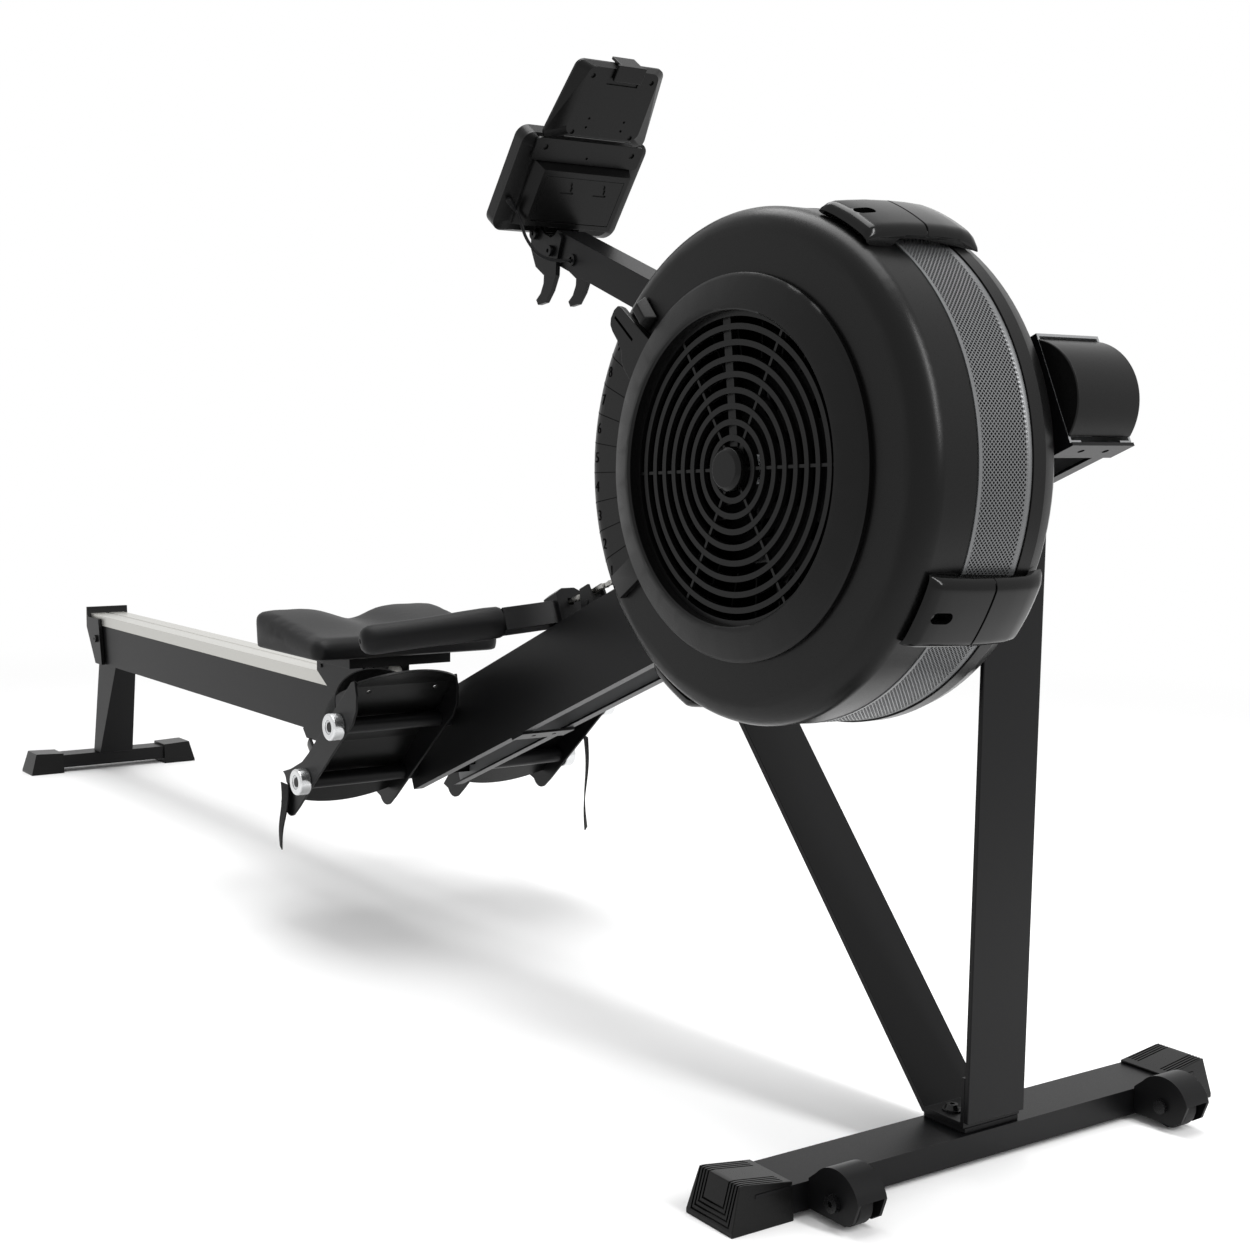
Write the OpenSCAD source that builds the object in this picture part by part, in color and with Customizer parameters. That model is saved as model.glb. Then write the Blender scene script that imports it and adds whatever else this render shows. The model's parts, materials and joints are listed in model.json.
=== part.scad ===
// Air rower: a fan flywheel on an inclined beam, a level seat rail, footrests,
// a pull handle on a chain and a monitor on a folding arm.
// Millimetres. X points to the fan end, Y to the user's left, Z up.
// The origin is on the floor at the middle of the machine's length and width.

/* [Front foot] */
// Overall width of the machine, across the front foot caps
foot_w = 610; // [560:5:660]
// Height of the front foot tube
foot_h = 25; // [20:1:30]
// Depth of the front foot tube along the machine
foot_d = 55; // [48:1:60]
// Distance of the front foot's centre line from the origin
foot_x = 1055.5; // [1040:0.5:1060]

/* [Legs] */
// Width of the flat post and strut
leg_w = 72; // [60:1:76]
// Thickness of the post and strut plate
leg_t = 5; // [4:0.5:8]

/* [Main beam] */
// Slope of the beam above level
beam_angle = 23.75; // [23:0.05:24.5]
// Outside width of the beam
beam_w = 76; // [74:1:84]
// Depth of the beam section
beam_d = 98; // [92:1:104]
// Sheet thickness of the beam
beam_t = 2.5; // [2:0.5:4]
// Length of the beam from its lower end to the nose cover
beam_l = 1165; // [1150:1:1175]

/* [Fan] */
// Outside radius of the fan housing at the mesh band
fan_r = 227; // [220:1:232]
// Radius of the grille opening
grille_r = 137; // [130:1:142]
// Number of grille rings
grille_rings = 8; // [6:1:9]
// Number of flywheel blades
blade_count = 24; // [16:2:32]

/* [Rail] */
// Width of the seat rail
rail_w = 64; // [60:1:66]
// Height of the rail's running surface above the floor
rail_top = 298; // [296:1:300]
// Overall depth of the rail with its track
rail_h = 91; // [86:1:92]

/* [Seat] */
// Width of the seat pad across the machine
seat_w = 294; // [280:5:320]
// Depth of the seat pad along the machine
seat_d = 204; // [180:2:210]

/* [Handle] */
// Overall width of the pull handle
handle_w = 490; // [440:2:500]
// Radius of the hand grips
grip_r = 18; // [14:0.5:19]

/* [Hidden] */
$fn = 96;

black = [0.09, 0.09, 0.10];
silver = [0.80, 0.80, 0.78];

// Front foot
cap_l = 66;
cap_w = foot_d + 5;
cap_h = 40;
foot_z0 = 5;
foot_z1 = foot_z0 + foot_h;
packer_t = 5;
base_z = foot_z1 + packer_t;
base_t = 5;
post_x1 = foot_x + foot_d / 2 + 1;
lip_h = 46;
bolt_x = foot_x - 5;

// Beam frame: x along the beam from its lower end, z square to it from its underside
beam_x = 101.5;
beam_z = 172.5;
nose_r = 52;
nose_c = beam_l - 28;
lip_w = 14;

// Fan, placed in the beam frame
axle_u = 945.5;
axle_n = 68.8;
axle_r = 8.5;
bearing_r = 20;
fan_x = beam_x + axle_u * cos(beam_angle) - axle_n * sin(beam_angle);
fan_z = beam_z + axle_u * sin(beam_angle) + axle_n * cos(beam_angle);
house_y0 = -188;
mesh_y0 = -140;
mesh_y1 = -81;
house_y1 = -44;
shell_t = 3;
shoulder_r = 22;
shell_y0 = -197;
ring_y0 = -211;
ring_r = 169;
grille_y0 = -201;
grille_t = 5;
clamp_a = 62;
lever_a = 141;
run_gap = 0.08;
seat_gap = 0.2;

// Chain line, in the beam frame
sprocket_r = 18;
chain_u0 = 388.3;
chain_n0 = 129;
chain_slope = (chain_n0 - axle_n - sprocket_r) / (axle_u - chain_u0);
chain_w = 8;
chain_t = 4.4;
chain_pitch = 12.7;
chain_gap = 1.5;
pulley_r = 20;
groove_r = pulley_r - 4;
pulley_pin_r = 5;

// Monitor arm and monitor, arm frame starts at the pivot and points to the rear
pivot_u = 941;
pivot_n = 121;
pivot_r = 5;
arm_w = 40;
arm_d = 37;
arm_l = 568;
arm_t = 2;
arm_angle = 21.1;
pivot_x = beam_x + pivot_u * cos(beam_angle) - pivot_n * sin(beam_angle);
pivot_z = beam_z + pivot_u * sin(beam_angle) + pivot_n * cos(beam_angle);
arm_end_x = pivot_x - arm_l * cos(arm_angle);
arm_end_z = pivot_z + arm_l * sin(arm_angle);
tilt_x = arm_end_x - 23.5;
tilt_z = arm_end_z + 12.5;
mon_x = tilt_x - 17;
mon_z = tilt_z + 12;
mon_angle = 54;
mon_w = 173;
mon_h = 126;

// Rail
track_h = 19;
rail_x0 = -1134.5;
rail_x1 = beam_x + 42;
rail_t = 2.5;
rail_z0 = rail_top - rail_h;
cradle_x0 = beam_x - 338;
cradle_x1 = beam_x + 22;
rail_bolts = [cradle_x0 + 90, cradle_x0 + 270];

// Rear foot
rear_x = rail_x0 - 11;
rear_d = 46;
rear_w = 326;
rear_cap_l = 62;
rear_z0 = 9;
rear_h = 24;

// Seat
seat_x = -72.5;
seat_z = 341;
roller_r = 10;
roller_x = [seat_x - 99, seat_x + 14];
plate_top_z = 322;

// Footrest, side plate frame starts at the lower axle and points up the plate
rest_x = beam_x;
rest_z = 199;
rest_angle = 42.5;
rest_pitch = 125;
rest_y = [52, 195];
rest_r = 6;
spacer_r = 17;
side_t = 3;

// Places
module in_beam() translate([beam_x, 0, beam_z]) rotate([0, -beam_angle, 0]) children();
module at_fan() translate([fan_x, 0, fan_z]) children();
module in_arm() translate([pivot_x, 0, pivot_z]) rotate([0, arm_angle, 0]) mirror([1, 0, 0]) children();
module in_rest() translate([rest_x, 0, rest_z]) rotate([0, -rest_angle, 0]) children();
module both_sides() {
    children();
    mirror([0, 1, 0]) children();
}

// Monitor frame: x to the user's left, y up the screen, z out of its back
module in_monitor() translate([mon_x, 0, mon_z]) rotate([0, 90 - mon_angle, 0]) rotate([90, 0, 90]) children();

// A cylinder along Y from y0 to y1
module pin(r, y0, y1) translate([0, y1, 0]) rotate([90, 0, 0]) cylinder(r = r, h = y1 - y0);

// A plate drawn in X and Z, from y0 to y1
module slab(y0, y1) translate([0, y1, 0]) rotate([90, 0, 0]) linear_extrude(y1 - y0) children();

// A solid of revolution about Y, drawn as radius and Y
module turned() rotate([-90, 0, 0]) rotate_extrude() children();

// A box with its corners rounded along Z
module round_box(size, r) {
    linear_extrude(size[2]) rounded(size[0], size[1], r);
}

// A rectangle with true arcs at its corners, centred
module rounded(w, h, r) {
    square([w - 2 * r, h], center = true);
    square([w, h - 2 * r], center = true);
    for (x = [-1, 1], y = [-1, 1]) {
        translate([x * (w / 2 - r), y * (h / 2 - r)]) circle(r);
    }
}

// A foot cap, its outer end at y = 0 and its body towards +y
module foot_cap(w, l, h, inner_h, bore_w, bore_z0, bore_z1, grip) {
    difference() {
        hull() {
            translate([-w / 2, 0, 0]) cube([w, l, 4]);
            translate([-w / 2 + 4, 10, h - 3]) cube([w - 8, 6, 3]);
            translate([-w / 2 + 3, l - 2, inner_h - 3]) cube([w - 6, 2, 3]);
        }
        translate([-bore_w / 2, l - grip, bore_z0]) cube([bore_w, grip + 1, bore_z1 - bore_z0]);
    }
}

module front_foot_bar() {
    color(black) difference() {
        translate([foot_x - foot_d / 2, -foot_w / 2 + 26, foot_z0]) cube([foot_d, foot_w - 52, foot_h]);
        translate([foot_x - foot_d / 2 + 2, -foot_w / 2 + 25, foot_z0 + 2])
            cube([foot_d - 4, foot_w - 50, foot_h - 4]);
        for (y = [-20, 20]) translate([bolt_x, y, foot_z1 - 6]) cylinder(r = 4.2, h = 10);
    }
}

module front_foot_caps() {
    color(black) both_sides() translate([foot_x, -foot_w / 2, 0])
        foot_cap(cap_w, cap_l, cap_h, 33, foot_d, foot_z0, foot_z1, cap_l - 26);
}

module foot_packer() {
    color(black) difference() {
        translate([foot_x - 26, -leg_w / 2 + 2, foot_z1]) cube([50, leg_w - 4, packer_t]);
        for (y = [-20, 20]) translate([bolt_x, y, foot_z1 - 1]) cylinder(r = 4.2, h = packer_t + 2);
    }
}

module foot_bolts() {
    for (y = [-20, 20]) translate([bolt_x, y, 0]) {
        translate([0, 0, foot_z1 - 2]) cylinder(r = 4, h = packer_t + base_t + 3);
        translate([0, 0, base_z + base_t]) cylinder(r = 9, h = 1.5);
        translate([0, 0, base_z + base_t + 1.5]) difference() {
            cylinder(r1 = 7, r2 = 5, h = 4.5);
            translate([0, 0, 2]) cylinder(r = 2.3, h = 4);
        }
    }
}

module frame_bolts() {
    color(silver) {
        foot_bolts();
        wheel_bolts();
        pulley_pin();
    }
}

// Wheel pieces, about the wheel's own centre
wheel_x = foot_x + 59;
wheel_z = 22.5;
wheel_r = 21;
wheel_y = foot_w / 2 - 99;
bracket_r = 28.5;
bracket_w = 32;
bracket_back = wheel_x - foot_x - foot_d / 2 - seat_gap;

module wheel_cheek() {
    intersection() {
        union() {
            circle(bracket_r);
            polygon([[-bracket_back, -17], [-bracket_back, 10], [-15, 24.2], [0, 0], [0, -17]]);
        }
        polygon([[-40, -15.5], [13, -15.5], [22, -9.5], [30, 13.5], [30, 40], [-40, 40]]);
    }
}

module wheel_brackets() {
    h = bracket_w / 2;
    color(black) both_sides() translate([wheel_x, -wheel_y, wheel_z]) {
        both_sides() difference() {
            slab(h - 3, h) wheel_cheek();
            pin(4.1, 0, 20);
        }
        // fender over the wheel, from the foot tube to the front
        slab(3 - h, h - 3) {
            difference() {
                circle(bracket_r);
                circle(bracket_r - 3);
                polygon([[0, 0], [60, 16], [60, -60], [-60, -60], [-60, 24], [-16, 24]]);
            }
            polygon([[-bracket_back, 10], [-15, 24.2], [-15, 21], [-bracket_back, 6.8]]);
        }
    }
}

module wheel_bolts() {
    h = bracket_w / 2;
    both_sides() translate([wheel_x, -wheel_y, wheel_z]) {
        pin(4, -h - 2, h + 2);
        difference() {
            pin(7.5, -h - 5, -h);
            pin(2.4, -h - 6, -h - 2);
        }
        pin(6.5, h, h + 4);
    }
}

module transport_wheel() {
    color(black) translate([wheel_x, 0, wheel_z]) difference() {
        turned() polygon([[4 + run_gap, -11], [14, -11], [18, -10], [wheel_r, -7], [wheel_r, 7],
            [18, 10], [14, 11], [4 + run_gap, 11]]);
        for (a = [0:60:300]) rotate([0, a, 0]) translate([10.5, 0, 0]) pin(2, -12, 12);
    }
}

module transport_wheel_right() translate([0, -wheel_y, 0]) transport_wheel();
module transport_wheel_left() translate([0, wheel_y, 0]) transport_wheel();

// The underside of the beam at a given X
function under_z(x) = beam_z + (x - beam_x) * tan(beam_angle);

module front_post() {
    color(black) difference() {
        slab(-leg_w / 2, leg_w / 2) polygon([
            [post_x1 - leg_t, foot_z1 + 10], [post_x1, foot_z1 + 10],
            [post_x1, under_z(post_x1)], [post_x1 - leg_t, under_z(post_x1 - leg_t)]]);
        translate([post_x1 - leg_t - 1, leg_w / 2 - 6, foot_z1 + 10]) rotate([-45, 0, 0])
            translate([0, 0, -20]) cube([leg_t + 2, 20, 20]);
    }
}

// The strut, the base under the bolts and the upturned lip behind the post are one folded strip
strut_x1 = foot_x - 355;
module rear_strut() {
    px = post_x1 - leg_t;
    fold = foot_x - 26;
    top_x = strut_x1;
    color(black) difference() {
        slab(-leg_w / 2, leg_w / 2) polygon([
            [fold, base_z], [px, base_z], [px, base_z + lip_h], [px - 4, base_z + lip_h],
            [px - 4, base_z + base_t], [fold + 3, base_z + base_t],
            [top_x, under_z(top_x)], [top_x - leg_t * 1.2, under_z(top_x - leg_t * 1.2)]]);
        for (y = [-20, 20]) translate([bolt_x, y, base_z - 1]) cylinder(r = 4.2, h = base_t + 2);
        translate([px - 10, leg_w / 2 - 10, base_z + lip_h]) rotate([-45, 0, 0])
            cube([20, 20, 20]);
    }
}

// Sheet channel, closed on top, with inturned lips below
module beam_section() {
    difference() {
        translate([-beam_w / 2, 0]) square([beam_w, beam_d]);
        translate([-beam_w / 2 + beam_t, beam_t]) square([beam_w - 2 * beam_t, beam_d - 2 * beam_t]);
        translate([-beam_w / 2 + lip_w, -1]) square([beam_w - 2 * lip_w, beam_t + 2]);
    }
}

module main_beam() {
    color(black) in_beam() {
        difference() {
            rotate([90, 0, 90]) linear_extrude(beam_l) beam_section();
            // notch for the rail
            translate([-1, -beam_w / 2 + beam_t, beam_d - beam_t - 1])
                cube([108, beam_w - 2 * beam_t, beam_t + 2]);
            // chain slot
            translate([740, -8, beam_d - beam_t - 1]) cube([210, 16, beam_t + 2]);
            translate([axle_u, 0, axle_n]) pin(bearing_r, -60, 60);
            for (p = rest_in_beam) translate([p[0], 0, p[1]]) pin(rest_r + 0.05, -60, 60);
            translate([nose_c, 0, beam_d / 2]) pin(pulley_pin_r, -60, 60);
        }
        // plates across the open underside
        for (u = [260, beam_l - 24]) difference() {
            translate([u, -beam_w / 2, -3]) cube([26, beam_w, 3]);
            for (y = [-15, 15]) translate([u + 14, y, -4]) cylinder(r = 3, h = 5);
        }
    }
}

// Footrest axle places in the beam frame
function to_beam(x, z) = [(x - beam_x) * cos(beam_angle) + (z - beam_z) * sin(beam_angle),
    (z - beam_z) * cos(beam_angle) - (x - beam_x) * sin(beam_angle)];
rest_in_beam = [to_beam(rest_x, rest_z),
    to_beam(rest_x + rest_pitch * cos(rest_angle), rest_z + rest_pitch * sin(rest_angle))];

module beam_nose() {
    w = beam_w / 2;
    color(black) in_beam() {
        difference() {
            slab(-w, w) nose_outline(0);
            slab(-w + beam_t, w - beam_t) nose_outline(beam_t);
        }
    }
}

// Round end of the beam, drawn along and square to the beam
module nose_outline(inset) {
    intersection() {
        translate([nose_c, beam_d / 2]) circle(nose_r - inset);
        translate([beam_l - (inset > 0 ? 1 : 0), inset]) square([60, beam_d - 2 * inset]);
    }
}

module bearing_blocks() {
    color(silver) in_beam() translate([axle_u, 0, axle_n]) both_sides() difference() {
        union() {
            pin(bearing_r, -beam_w / 2, -beam_w / 2 + 14);
            pin(bearing_r + 5, -beam_w / 2 + beam_t, -beam_w / 2 + beam_t + 4);
        }
        pin(axle_r, -60, 0);
    }
}

module fan_axle() {
    color(silver) at_fan() {
        pin(axle_r - run_gap, -172, 50);
        pin(13, -172, -166);
        pin(12, 39, 46);
    }
}

blade_r = fan_r - 20;
blade_r0 = blade_r - 110;
rotor_y0 = -171;
rotor_y1 = -61;
disc_y = -121;
hub_y0 = -160;
module flywheel() {
    color(black) at_fan() {
        difference() {
            turned() polygon([[axle_r - run_gap, hub_y0], [26, hub_y0], [34, disc_y - 11], [blade_r - 10, disc_y - 3],
                [blade_r - 6, disc_y - 3], [blade_r - 6, disc_y + 3], [34, disc_y + 11], [30, rotor_y1 - 1],
                [axle_r - run_gap, rotor_y1 - 1]]);
            for (a = [0:60:300]) rotate([0, a, 0]) translate([0.3 * blade_r, 0, 0]) pin(9, rotor_y0, rotor_y1);
        }
        for (i = [0:blade_count - 1]) rotate([0, i * 360 / blade_count, 0])
            translate([blade_r0, rotor_y0 + 1, -1]) cube([blade_r - 2 - blade_r0, rotor_y1 - rotor_y0 - 2, 2]);
        // thin rings that tie the blade tips
        for (y = [rotor_y0, rotor_y1 - 3])
            turned() polygon([[blade_r - 8, y], [blade_r, y], [blade_r, y + 3], [blade_r - 8, y + 3]]);
    }
}

// Toothed wheel on the axle, driven by the chain over its top
module chain_sprocket() {
    teeth = 14;
    color(silver) at_fan() difference() {
        union() {
            pin(sprocket_r - 3.2, -3, 3);
            pin(13, -16, 16);
            for (i = [0:teeth - 1]) rotate([0, i * 360 / teeth, 0]) translate([sprocket_r - 4, -1.2, -1])
                cube([chain_gap, 2.4, 2]);
        }
        pin(axle_r, -20, 20);
    }
}

module nose_pulley() {
    g = pulley_pin_r + run_gap;
    color(black) in_beam() translate([nose_c, 0, beam_d / 2]) turned()
        polygon([[g, -8], [pulley_r, -8], [pulley_r, -6], [groove_r, -3.4],
            [groove_r, 3.4], [pulley_r, 6], [pulley_r, 8], [g, 8]]);
}

module pulley_pin() {
    in_beam() translate([nose_c, 0, beam_d / 2]) {
        pin(pulley_pin_r, -beam_w / 2, beam_w / 2);
        both_sides() difference() {
            pin(8, 8.3, beam_w / 2 - beam_t);
            pin(pulley_pin_r, 0, 60);
        }
    }
}

// Chain inside the beam: from the sprocket to the front pulley and round it to the cord
cord_u1 = nose_c - 60;
module inner_chain() {
    r = groove_r + run_gap + chain_t / 2;
    mid = beam_d / 2;
    drop = axle_n + sprocket_r - mid - r;
    span = nose_c - axle_u;
    color(silver) in_beam() {
        translate([axle_u, 0, axle_n + sprocket_r]) rotate([0, atan(drop / span), 0])
            translate([2, -3.2, -chain_t / 2]) cube([norm([drop, span]) - 1, 6.4, chain_t]);
        translate([nose_c, 0, mid]) intersection() {
            turned() translate([r - chain_t / 2, -3.2]) square([chain_t, 6.4]);
            translate([0, -10, -40]) cube([40, 20, 80]);
        }
        translate([cord_u1, -3.2, mid - r - chain_t / 2]) cube([nose_c - cord_u1 + 1, 6.4, chain_t]);
    }
}

// Elastic return cord, from the chain's end back along the beam to its anchor
module return_cord() {
    low = beam_d / 2 - groove_r - run_gap - chain_t / 2;
    color(black) in_beam() {
        translate([300, 0, low]) rotate([0, 90, 0]) cylinder(r = 3, h = cord_u1 - 300);
        translate([296, -beam_w / 2 + beam_t, low - 8]) cube([8, beam_w - 2 * beam_t, 16]);
    }
}

// Right half shell, drum shaped with a flat front flange under the damper ring
module fan_housing_right() {
    r = fan_r - 1;
    c = shoulder_r;
    front = shell_y0;
    color(black) at_fan() turned() difference() {
        union() {
            translate([grille_r + 3, front]) square([r - c - grille_r - 3, shell_t]);
            translate([r - shell_t, front + c]) square([shell_t, mesh_y0 - front - c]);
            intersection() {
                translate([r - c, front + c]) difference() {
                    circle(c);
                    circle(c - shell_t);
                }
                translate([r - c, front]) square([c, c]);
            }
        }
    }
}

module fan_grille() {
    pitch = grille_r / (grille_rings + 2);
    y1 = grille_y0 + grille_t;
    color(black) at_fan() {
        for (k = [2:grille_rings + 1]) {
            turned() translate([k * pitch - 2.6, grille_y0]) square([5.2, grille_t]);
        }
        // rim that carries the grille on the shell's flange
        turned() polygon([[grille_r - 5, grille_y0], [grille_r - run_gap, grille_y0],
            [grille_r - run_gap, shell_y0 + shell_t], [grille_r + 12, shell_y0 + shell_t],
            [grille_r + 12, shell_y0 + shell_t + 2.5], [grille_r - 5, shell_y0 + shell_t + 2.5]]);
        for (a = [3:60:303]) rotate([0, -a, 0]) translate([14, grille_y0 + 1, -1.4])
            cube([grille_r - 18, 4, 2.8]);
        pin(20, grille_y0 + 1, y1 + 1);
        // stay behind the rings
        rotate([0, -97, 0]) translate([14, y1 - 1, -5]) cube([grille_r - 17, 7, 10]);
    }
}

module hub_cap() {
    color(black) at_fan() turned()
        polygon([[0, grille_y0 - 9], [16, grille_y0 - 9], [19.5, grille_y0 - 6],
            [20, grille_y0 + 1], [0, grille_y0 + 1]]);
}

// Ring with a lever, turned by hand round the grille to set the air flow
module damper_ring() {
    back = shell_y0 - 0.3;
    color(black) at_fan() {
        turned() polygon([[grille_r, ring_y0 + 2], [grille_r + 2, ring_y0], [grille_r + 7, ring_y0 + 0.5],
            [ring_r - 4, ring_y0 + 6], [ring_r, ring_y0 + 10], [ring_r, back], [grille_r, back]]);
        rotate([0, -lever_a, 0]) {
            difference() {
                translate([ring_r - 3, back - 7, -12]) cube([48, 7, 24]);
                translate([ring_r + 8, back - 9, -4]) cube([22, 4, 8]);
            }
            translate([ring_r + 29, back - 14, -12]) cube([16, 9, 24]);
        }
        rotate([0, -215, 0]) translate([ring_r - 3, back - 6, -12]) cube([36, 6, 24]);
    }
}

module mesh_band() {
    color(silver) at_fan() turned() polygon([
        [fan_r - 4.05, mesh_y0 - 6], [fan_r - 4.05, mesh_y0], [fan_r - 1, mesh_y0],
        [fan_r + 1, mesh_y1], [fan_r - 0.05, mesh_y1], [fan_r - 0.05, mesh_y1 + 6],
        [fan_r - 2, mesh_y1 + 6], [fan_r - 2, mesh_y1 - 1], [fan_r - 6.5, mesh_y0 + 1],
        [fan_r - 6.5, mesh_y0 - 6]]);
}

module fan_housing_left() {
    r = fan_r + 3;
    color(black) at_fan() {
        difference() {
            turned() polygon([[r - 3, mesh_y1], [r, mesh_y1], [r, mesh_y1 + 14], [r - 3, mesh_y1 + 26],
                [r - 8, house_y1 - 4], [r - 15, house_y1], [28, house_y1], [28, house_y1 - shell_t],
                [r - 16, house_y1 - shell_t], [r - 11, house_y1 - 6], [r - 6, mesh_y1 + 25],
                [r - 3, mesh_y1 + 13]]);
            for (a = house_screws) rotate([0, -a, 0]) translate([house_screw_r, 0, 0]) pin(3.2, -60, -40);
        }
        // bosses that stand the shell off the beam
        for (a = house_screws) rotate([0, -a, 0]) translate([house_screw_r, 0, 0]) difference() {
            pin(9, house_y1, -beam_w / 2);
            pin(3.2, house_y1 - 1, -beam_w / 2 + 1);
        }
    }
}
house_screw_r = 70;
house_screws = [beam_angle + 18, beam_angle - 40, beam_angle + 172, beam_angle + 214];

module slab_front() rotate([90, 0, 0]) linear_extrude(300) children();

// One clamp bridging the mesh band, at the top of the housing before it is turned
module clamp_body() {
    r = fan_r;
    difference() {
        intersection() {
            turned() polygon([[r + 4, house_y0 + 10], [r + 12, house_y0 + 16], [r + 14, house_y0 + 40],
                [r + 16, mesh_y1], [r + 15, house_y1 - 22], [r + 8, house_y1 - 10], [r + 3 + seat_gap, house_y1 - 24],
                [r + 3 + seat_gap, mesh_y1 - 2], [r + 1 + seat_gap, mesh_y1 - 2], [r + 1 + seat_gap, mesh_y0 + 2],
                [r - 1 + seat_gap, mesh_y0 + 2], [r - 1 + seat_gap, house_y0 + 14]]);
            slab_front() polygon([[-34, fan_r - 8], [-34, fan_r + 6], [-30, fan_r + 12],
                [-20, fan_r + 20], [20, fan_r + 20], [30, fan_r + 12], [34, fan_r + 6], [34, fan_r - 8]]);
        }
        // screw recess
        translate([-12, house_y0 + 14, r + 6]) cube([24, 9, 20]);
        translate([-36, -115, r + 13]) cube([72, 1.2, 8]);
    }
}

module housing_clamps() {
    color(black) at_fan() for (i = [0:3]) rotate([0, 90 - clamp_a - 90 * i, 0]) clamp_body();
}

module clamp_screws() {
    color(silver) at_fan() for (i = [0:3]) rotate([0, 90 - clamp_a - 90 * i, 0])
        translate([0, house_y0 + 18.5, fan_r + 6.1]) difference() {
            cylinder(r = 3.6, h = 4);
            translate([0, 0, 2]) cylinder(r = 1.6, h = 4);
        }
}

// Lugs on the beam that hold the monitor arm's pivot bolt
module arm_lugs() {
    lug = [arm_w / 2 + 0.5, arm_w / 2 + 5.5];
    color(black) in_beam() {
        both_sides() difference() {
            slab(-lug[1], -lug[0]) union() {
                translate([pivot_u - 20, beam_d]) square([40, pivot_n - beam_d]);
                translate([pivot_u, pivot_n]) circle(20);
            }
            translate([pivot_u, 0, pivot_n]) pin(pivot_r, -60, 60);
        }
        translate([pivot_u, 0, pivot_n]) {
            pin(pivot_r - run_gap, -arm_w / 2 - 9, arm_w / 2 + 9);
            pin(9, -arm_w / 2 - 11.5, -lug[1]);
            pin(9, lug[1], arm_w / 2 + 11.5);
        }
    }
}

module monitor_arm() {
    low_bolt = bracket_bolts[1];
    color(black) difference() {
        in_arm() difference() {
            union() {
                translate([10, -arm_w / 2, -arm_d / 2]) cube([arm_l - 10, arm_w, arm_d]);
                pin(arm_d / 2 - 1.5, -arm_w / 2, arm_w / 2);
            }
            translate([24, -arm_w / 2 + arm_t, -arm_d / 2 + arm_t])
                cube([arm_l, arm_w - 2 * arm_t, arm_d - 2 * arm_t]);
            pin(pivot_r, -60, 60);
            translate([grommet_l, 0, grommet_n]) pin(5, -60, 0);
        }
        translate([low_bolt[0], 0, low_bolt[1]]) pin(4, -60, 60);
        // end cut back, clear of the tilting monitor
        slab(-60, 60) translate(bracket_bolts[0])
            polygon([[3, -8], [29, -8], [48, 11], [48, 21], [3, 21]]);
    }
    // grommet in the arm's side
    color(black) in_arm() translate([grommet_l, 0, grommet_n]) difference() {
        pin(7, -arm_w / 2 - 2.5, -arm_w / 2);
        pin(3.4, -60, 0);
    }
}
grommet_l = arm_l - 51.5;
grommet_n = -4.5;

// Cheeks on the arm's end, drawn in X and Z from the upper bolt, with two hooks for the handle
module cheek_outline() {
    circle(cheek_r);
    polygon([[7, 8.5], [17, -1], [31, -7], [47, -3], [53, -9], [43, -37], [27, -53],
        [19, -50], [0, -38], [-10, -17], [-10.6, -3]]);
}
module hook_outline() {
    polygon([[21, -45], [46, -33], [45, -51], [36, -68], [24, -81], [9, -83], [5, -77],
        [14, -70], [20, -59]]);
}

module monitor_bracket() {
    y0 = arm_w / 2;
    color(black) both_sides() {
        difference() {
            slab(y0, y0 + 4) translate(bracket_bolts[0]) cheek_outline();
            for (p = bracket_bolts) translate([p[0], 0, p[1]]) pin(4, 0, 60);
        }
        slab(y0, y0 + 6) translate(bracket_bolts[0]) hook_outline();
        for (p = bracket_bolts) translate([p[0], 0, p[1]]) difference() {
            pin(6.5, y0 + 4, y0 + 9);
            pin(2.4, y0 + 6, y0 + 10);
        }
    }
    color(black) for (p = bracket_bolts) translate([p[0], 0, p[1]]) pin(4 - run_gap, -y0 - 5, y0 + 5);
}
bracket_bolts = [[tilt_x, tilt_z], [tilt_x + 32, tilt_z - 22]];
cheek_r = 11;

// Cable from the monitor's plug, down in a loop and into the arm's grommet
cable_r = 1.9;
cable_pts = [[25.85, -70, 22.1], [27.5, -67.6, 18], [31.5, -67.4, 11], [35.5, -66.5, 3],
    [37.5, -64, -7], [40, -58, -18], [45, -51, -28], [54, -43, -34], [63, -35, -36],
    [69, -28, -36], [71, -18, -36]];
plug_back = [30, -83, 33];

// A point on the smooth curve through the points, for a whole part i and a share t
function curve(p, i, t) = let (n = len(p) - 1, a = p[max(i - 1, 0)], b = p[i], c = p[min(i + 1, n)],
    d = p[min(i + 2, n)]) 0.5 * (2 * b + (c - a) * t + (2 * a - 5 * b + 4 * c - d) * t * t
    + (3 * b - a - 3 * c + d) * t * t * t);
function smooth_path(p, k) = concat([for (i = [0:len(p) - 2], j = [0:k - 1]) curve(p, i, j / k)],
    [p[len(p) - 1]]);
function unit(v) = v / norm(v);

// A tube of radius r along a path, swept as one closed surface with m sides
module tube_along(path, r, m) {
    n = len(path);
    rings = [for (i = [0:n - 1]) let (d = unit(path[min(i + 1, n - 1)] - path[max(i - 1, 0)]),
        u = unit(cross(d, [0.3, 0.9, 0.2])), v = cross(d, u))
        for (k = [0:m - 1]) path[i] + r * (u * cos(360 * k / m) + v * sin(360 * k / m))];
    faces = concat([[for (k = [0:m - 1]) k]],
        [for (i = [0:n - 2], k = [0:m - 1]) [i * m + k, (i + 1) * m + k,
            (i + 1) * m + (k + 1) % m, i * m + (k + 1) % m]],
        [[for (k = [m - 1:-1:0]) (n - 1) * m + k]]);
    polyhedron(rings, faces);
}

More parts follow.
